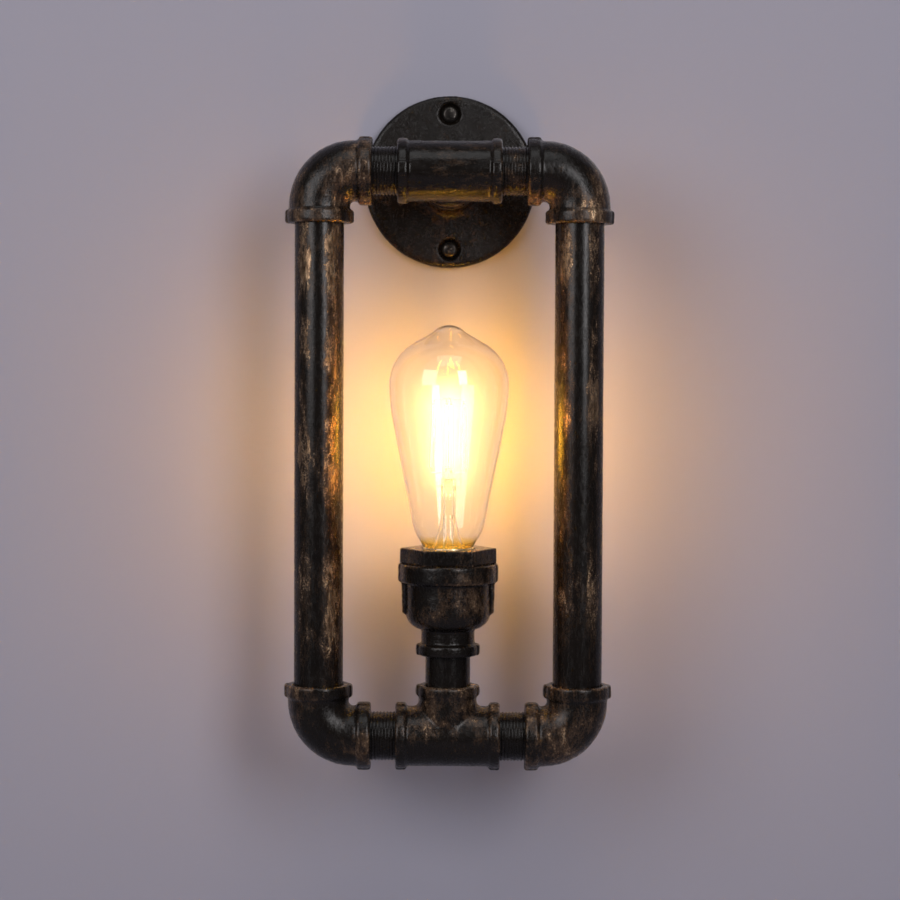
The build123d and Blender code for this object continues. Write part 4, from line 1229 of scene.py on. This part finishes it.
def rounded_bar(name, thick, wide, low, high, round_off):
    """An upright bar with rounded edges."""
    shape = bmesh.new()
    bmesh.ops.create_cube(shape, size=1)
    for vert in shape.verts:
        vert.co = (vert.co.x * thick, vert.co.y * wide, low + (vert.co.z + 0.5) * (high - low))
    bmesh.ops.bevel(shape, geom=shape.edges[:], offset=round_off, segments=4, affect="EDGES")
    mesh = bpy.data.meshes.new(name)
    shape.to_mesh(mesh)
    shape.free()
    mesh.polygons.foreach_set("use_smooth", [True] * len(mesh.polygons))
    bar = bpy.data.objects.new(name, mesh)
    bpy.context.scene.collection.objects.link(bar)
    return bar


print("chips every", CHIP_PITCH)

# %% [markdown]
# The tree gets the number of filaments, the radius of the ring of their feet, the lean and the
# turn of the first. It makes one point for each, turns it outwards, and stands a filament on it.

# %% The tree that stands filaments in a ring
def filament_ring_tree():
    """A tree that stands copies of a bar in a ring, leaning in."""
    tree, start, end = geometry_tree("filament_ring", Count=4, First_turn=0.1, Foot_radius=0.0096,
                                     Lean=0.03, Foot=(0.0, 0.0, 0.0), Finish=None)
    size = start.outputs
    share = maths(tree, "DIVIDE", grow(tree, "GeometryNodeInputIndex").outputs[0], size["Count"])
    turn = maths(tree, "MULTIPLY_ADD", share, 2 * math.pi, size["First turn"])
    out = grow(tree, "ShaderNodeCombineXYZ",
               X=maths(tree, "MULTIPLY", maths(tree, "COSINE", turn), size["Foot radius"]),
               Y=maths(tree, "MULTIPLY", maths(tree, "SINE", turn), size["Foot radius"]))
    place = tree.nodes.new("ShaderNodeVectorMath")
    tree.links.new(out.outputs[0], place.inputs[0])
    tree.links.new(size["Foot"], place.inputs[1])
    spots = grow(tree, "GeometryNodePoints", Count=size["Count"], Position=place.outputs[0])
    facing = grow(tree, "ShaderNodeCombineXYZ", Y=maths(tree, "MULTIPLY", size["Lean"], -1.0),
                  Z=turn)
    stood = grow(tree, "GeometryNodeInstanceOnPoints", Points=spots.outputs[0],
                 Instance=size["Geometry"], Rotation=facing.outputs[0])
    return finish_tree(tree, stood.outputs[0], size["Finish"], end)


filament_ring = filament_ring_tree()
print("tree", filament_ring.name, "has", len(filament_ring.nodes), "nodes")

# %% [markdown]
# The coats and the tabs go through the same tree with the same values, so they stay together. The
# lean follows from the two rings: the feet stand a little wider than the tops.

# %% The four lit filaments and their tabs
FILAMENT_GLOW = 620.0
AMBER = (1.0, 0.45, 0.02)
LENGTH, TAB, TAB_WIDTH = TOP_H - FOOT_H, 2.2 * MM, 1.1 * MM
lit_phosphor = lit_coat("lit_phosphor", AMBER, FILAMENT_GLOW)
ring_values = dict(Count=FILAMENT_COUNT, First_turn=math.radians(FILAMENT_TURN),
                   Foot_radius=FOOT_RING, Lean=math.atan((FOOT_RING - TOP_RING) / LENGTH),
                   Foot=in_bulb(0, 0, FOOT_H))
coat = rounded_bar("filament_coats", 1.0 * MM, 1.8 * MM, 1.6 * MM, LENGTH - 1.6 * MM, 0.42 * MM)
coats = grown(coat, filament_ring, Finish=lit_phosphor, **ring_values)
tabs = joined("filament_tabs", [
    rounded_bar("low_tab", 0.4 * MM, TAB_WIDTH, 0, TAB, 0.1 * MM),
    rounded_bar("top_tab", 0.4 * MM, TAB_WIDTH, LENGTH - TAB, LENGTH, 0.1 * MM)])
tabs = grown(tabs, filament_ring, Finish=nickel_wire, **ring_values)
filaments = joined("lit_filaments", [coats, tabs])
dress(filaments, "bulb", "filament", "led_filaments")

# %% [markdown]
# ## Screw cap and lampholder shell
# The bulb's cap is thin nickel-plated brass with a rolled thread, 3.63 mm a turn, and the shell
# in the lampholder has the same thread round it, so that one climbs in the other. A rolled thread
# is a wave: the radius goes in and out with the height, and the wave moves up by one pitch in each
# turn. A mesh whose radius is worked out from that rule shows it better than a ridge stuck on.

# %% A turned wall that carries a wave
CAP_PITCH = 3.63 * MM


def rolled(name, profile, wave_low, wave_high, depth, segments=96):
    """A thin turned wall whose rows between two heights follow the thread's wave."""
    points, faces = [], []
    for row, (radius, height) in enumerate(profile):
        for s in range(segments):
            turn = 2 * math.pi * s / segments
            inside = min(max((height - wave_low) / CAP_PITCH, 0), 1)
            inside *= min(max((wave_high - height) / CAP_PITCH, 0), 1)
            wave = 0.5 - 0.5 * math.cos(2 * math.pi * (height / CAP_PITCH) - turn)
            here = radius - depth * wave * inside
            points.append((BULB_FOOT[0] + here * math.cos(turn),
                           BULB_FOOT[1] + here * math.sin(turn), BULB_FOOT[2] + height))
    rows = len(profile)
    for row in range(rows):
        nxt = (row + 1) % rows
        for s in range(segments):
            n = (s + 1) % segments
            faces.append((row * segments + s, row * segments + n, nxt * segments + n,
                          nxt * segments + s))
    return outward(as_piece(name, points, faces))


def climb(radius, low, high, step=0.30 * MM):
    """A straight run of outline in small steps, so that a wave can be pressed into it."""
    steps = max(1, round(abs(high - low) / step))
    return [(radius, low + (high - low) * i / steps) for i in range(steps + 1)]


print("rolled threads climb", CAP_PITCH, "a turn")

# %% [markdown]
# Thin plating tarnishes in patches, which are darker and duller than the rest, and handling leaves
# fine scratches. One function makes nickel, brass, tin and solder by their two colours.

# %% Plated metals
def plated(name, bright, dark, scale=500):
    """Plated sheet metal with handling marks and a little tarnish."""
    material, tree, surface = new_material(name)
    here = place_on(tree)
    tarnish = cloud(tree, here, scale, 6, 0.62, 0.4)
    join(tree, blend(tree, fade(tree, tarnish, 0.42, 0.70), (*bright, 1), (*dark, 1)),
         surface.inputs["Base Color"])
    surface.inputs["Metallic"].default_value = 1.0
    join(tree, fade(tree, tarnish, 0.3, 0.75, 0.20, 0.44), surface.inputs["Roughness"])
    scratch = cloud(tree, place_on(tree, stretch=(1, 1, 0.2)), 2400, 3, 0.7)
    bump = add(tree, "Bump", Strength=0.25, Distance=0.00008, Height=scratch)
    join(tree, bump.outputs["Normal"], surface.inputs["Normal"])
    return material


nickel_plate = plated("nickel_plate", (0.74, 0.68, 0.56), (0.40, 0.33, 0.24))
brass_plate = plated("brass_plate", (0.78, 0.56, 0.25), (0.45, 0.29, 0.11))
print("nickel and brass plate made")

# %% [markdown]
# The cap's outline starts at its rim, goes down the threaded wall to the cone and in to the hole
# for the insulator, and comes back along the inner side.

# %% The bulb's cap
CAP_R, CAP_WALL, THREAD_END = 13.0 * MM, 0.35 * MM, -17.0 * MM
cap_line = [(CAP_R, 0), (13.7 * MM, 0), (13.7 * MM, -0.8 * MM), (CAP_R, -1.8 * MM)]
cap_line += climb(CAP_R, -2.2 * MM, THREAD_END)
cap_line += [(12.6 * MM, -17.9 * MM), (8.5 * MM, -22.0 * MM), (4.0 * MM, -22.0 * MM)]
cap_back = [(4.0 * MM, -21.7 * MM), (8.4 * MM, -21.6 * MM), (12.2 * MM, -17.8 * MM)]
cap_back += climb(CAP_R - CAP_WALL, THREAD_END, -2.2 * MM)
cap_back += [(CAP_R - CAP_WALL, -1.8 * MM), (13.1 * MM, -0.9 * MM)]
cap = rolled("rolled_cap", cap_line + cap_back, -17.2 * MM, -2.0 * MM, 0.85 * MM)
cap.data.materials.append(nickel_plate)
dress(cap, "bulb", "cap_metal", "bulb_cap")

# %% [markdown]
# The shell stands on a leg that carries the neutral, and a tab reaches in from its floor to the
# clamp. Its outer size comes from the CAD box, so that it fits the ceramic.

# %% The lampholder's shell
low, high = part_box("holder_shell")
shell_low, shell_high = low.z - CAP_RIM_Z, high.z - CAP_RIM_Z
SHELL_R, SHELL_WALL, LEG_HEIGHT = (high.x - low.x) / 2, 0.4 * MM, 4.4 * MM
FLOOR_HOLE_R, STRIP_WIDTH, STRIP_EDGE = 9.0 * MM, 4 * MM, 0.12 * MM
floor_h = shell_low + LEG_HEIGHT
shell_line = [(FLOOR_HOLE_R, floor_h), (SHELL_R, floor_h)] + climb(SHELL_R, floor_h, shell_high)
shell_line += climb(SHELL_R - SHELL_WALL, shell_high, floor_h + SHELL_WALL)
shell_line += [(FLOOR_HOLE_R, floor_h + SHELL_WALL)]
shell = rolled("rolled_shell", shell_line, -21.5 * MM, shell_high - 1.2 * MM, 0.45 * MM)
leg = rounded_bar("shell_leg", 0.8 * MM, STRIP_WIDTH, 0, LEG_HEIGHT + SHELL_WALL, STRIP_EDGE)
leg.data.transform(Matrix.Translation(in_bulb(6 * MM, 0, shell_low)))
tab = rounded_bar("shell_tab", SHELL_WALL, STRIP_WIDTH, 0, 4.6 * MM, STRIP_EDGE)
tab.data.transform(Matrix.Translation(in_bulb(5.6 * MM, 0, floor_h + SHELL_WALL / 2))
                   @ Matrix.Rotation(math.radians(90), 4, "Y"))
shell = joined("rolled_shell", [shell, leg, tab])
shell.data.materials.append(brass_plate)
dress(shell, "fixture", "brass", "holder_shell")

# %% [markdown]
# ## The pieces whose CAD shape is already right
# The lampholder's ceramic, the terminals, the leads and the earth parts keep their CAD meshes.
# Each gets the finish of the real thing: glazed porcelain, brass that has been handled, soft
# plastic insulation and tinned crimps. The glaze has the smallest mottle and a few pits, as every
# fired piece does.

# %% Porcelain
def porcelain(name):
    """White glaze over clay: a slight warm mottle, tiny pits and a soft ripple."""
    material, tree, surface = new_material(name)
    here = place_on(tree)
    mottle = cloud(tree, here, 140, 5, 0.6)
    pits = fade(tree, cloud(tree, here, 1300, 2, 0.5), 0.66, 0.74)
    glaze = blend(tree, mottle, (0.80, 0.78, 0.73, 1), (0.88, 0.87, 0.84, 1))
    join(tree, blend(tree, pits, glaze, (0.45, 0.42, 0.37, 1)), surface.inputs["Base Color"])
    join(tree, fade(tree, mottle, 0.3, 0.7, 0.12, 0.22), surface.inputs["Roughness"])
    surface.inputs["Coat Weight"].default_value = 0.5
    bump = add(tree, "Bump", Strength=0.2, Distance=0.0002, Height=mottle)
    join(tree, bump.outputs["Normal"], surface.inputs["Normal"])
    return material


glazed_porcelain = porcelain("glazed_porcelain")
print("porcelain made")

# %% [markdown]
# Insulation is extruded, so it is even, satin and slightly mottled. The glass of the cap's
# insulator is black and smooth, and the same recipe makes it with a lower roughness.

# %% Plastics and cap glass
def soft_plastic(name, light, dark, rough=0.42, scale=320):
    """Extruded insulation: even colour with faint mottle, draw lines and a satin gloss."""
    material, tree, surface = new_material(name)
    here = place_on(tree)
    mottle = cloud(tree, here, scale, 4, 0.6)
    join(tree, blend(tree, mottle, (*dark, 1), (*light, 1)), surface.inputs["Base Color"])
    satin = fade(tree, mottle, 0.3, 0.7, rough - 0.07, rough + 0.09)
    join(tree, satin, surface.inputs["Roughness"])
    bump = add(tree, "Bump", Strength=0.15, Distance=0.0001, Height=cloud(tree, here, 1800, 3, 0.6))
    join(tree, bump.outputs["Normal"], surface.inputs["Normal"])
    return material


black_insulation = soft_plastic("black_insulation", (0.030, 0.029, 0.030), (0.012, 0.012, 0.012))
white_insulation = soft_plastic("white_insulation", (0.80, 0.79, 0.76), (0.66, 0.65, 0.61))
green_insulation = soft_plastic("green_insulation", (0.045, 0.30, 0.085), (0.022, 0.17, 0.045))
cap_glass = soft_plastic("black_cap_glass", (0.022, 0.019, 0.024), (0.008, 0.007, 0.010), 0.13, 240)
print("plastics and cap glass made")

# %% [markdown]
# The driver board is green lacquer with pads of tin. Square cells of a Voronoi pattern stand for
# the pads. The other metals are plated finishes in their own colours.

# %% Board and small metals
def board_green(name):
    """A small circuit board: green lacquer with pads of tin in a chance pattern."""
    material, tree, surface = new_material(name)
    here = place_on(tree)
    cells = add(tree, "TexVoronoi", {"feature": "F1", "distance": "CHEBYCHEV"}, Vector=here,
                Scale=620.0)
    pad = fade(tree, cells.outputs["Distance"], 0.26, 0.20)
    lacquer = blend(tree, cloud(tree, here, 500, 4, 0.6), (0.010, 0.075, 0.032, 1),
                    (0.020, 0.135, 0.058, 1))
    join(tree, blend(tree, pad, lacquer, (0.60, 0.60, 0.58, 1)), surface.inputs["Base Color"])
    join(tree, pad, surface.inputs["Metallic"])
    join(tree, fade(tree, pad, 0, 1, 0.28, 0.38), surface.inputs["Roughness"])
    return material


handled_brass = plated("handled_brass", (0.80, 0.58, 0.26), (0.42, 0.27, 0.11), 700)
tinned_crimp = plated("tinned_crimp", (0.78, 0.79, 0.80), (0.50, 0.51, 0.52), 900)
solder_drop = plated("solder_drop", (0.70, 0.70, 0.69), (0.38, 0.38, 0.37), 650)
driver_green = board_green("driver_green")
print("board and small metals made")

# %% [markdown]
# A CAD piece that stays keeps its own mesh and slot, and only its material is changed.

# %% Each kept CAD piece gets its finish
finishes = {
    "holder_ceramic": glazed_porcelain, "centre_contact": handled_brass,
    "live_terminal": handled_brass, "neutral_terminal": handled_brass,
    "clamp_screws": zinc_steel, "live_lead": black_insulation, "neutral_lead": white_insulation,
    "lead_ferrules": tinned_crimp, "earth_screw": zinc_steel, "earth_eyelet": tinned_crimp,
    "earth_lead": green_insulation, "cap_insulator": cap_glass, "contact_tip": solder_drop,
    "driver_board": driver_green, "driver_tails": nickel_wire,
}
for node, finish in finishes.items():
    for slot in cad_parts[node].material_slots:
        slot.material = finish
print("kept pieces:", ", ".join(sorted(finishes)))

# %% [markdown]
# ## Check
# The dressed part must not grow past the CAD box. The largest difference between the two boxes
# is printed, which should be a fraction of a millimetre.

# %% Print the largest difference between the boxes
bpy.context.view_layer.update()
growth = [abs(a - b) for pair in zip(cad_box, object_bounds()) for a, b in zip(*pair)]
print("largest difference between the boxes:", round(max(growth) / MM, 2), "mm")
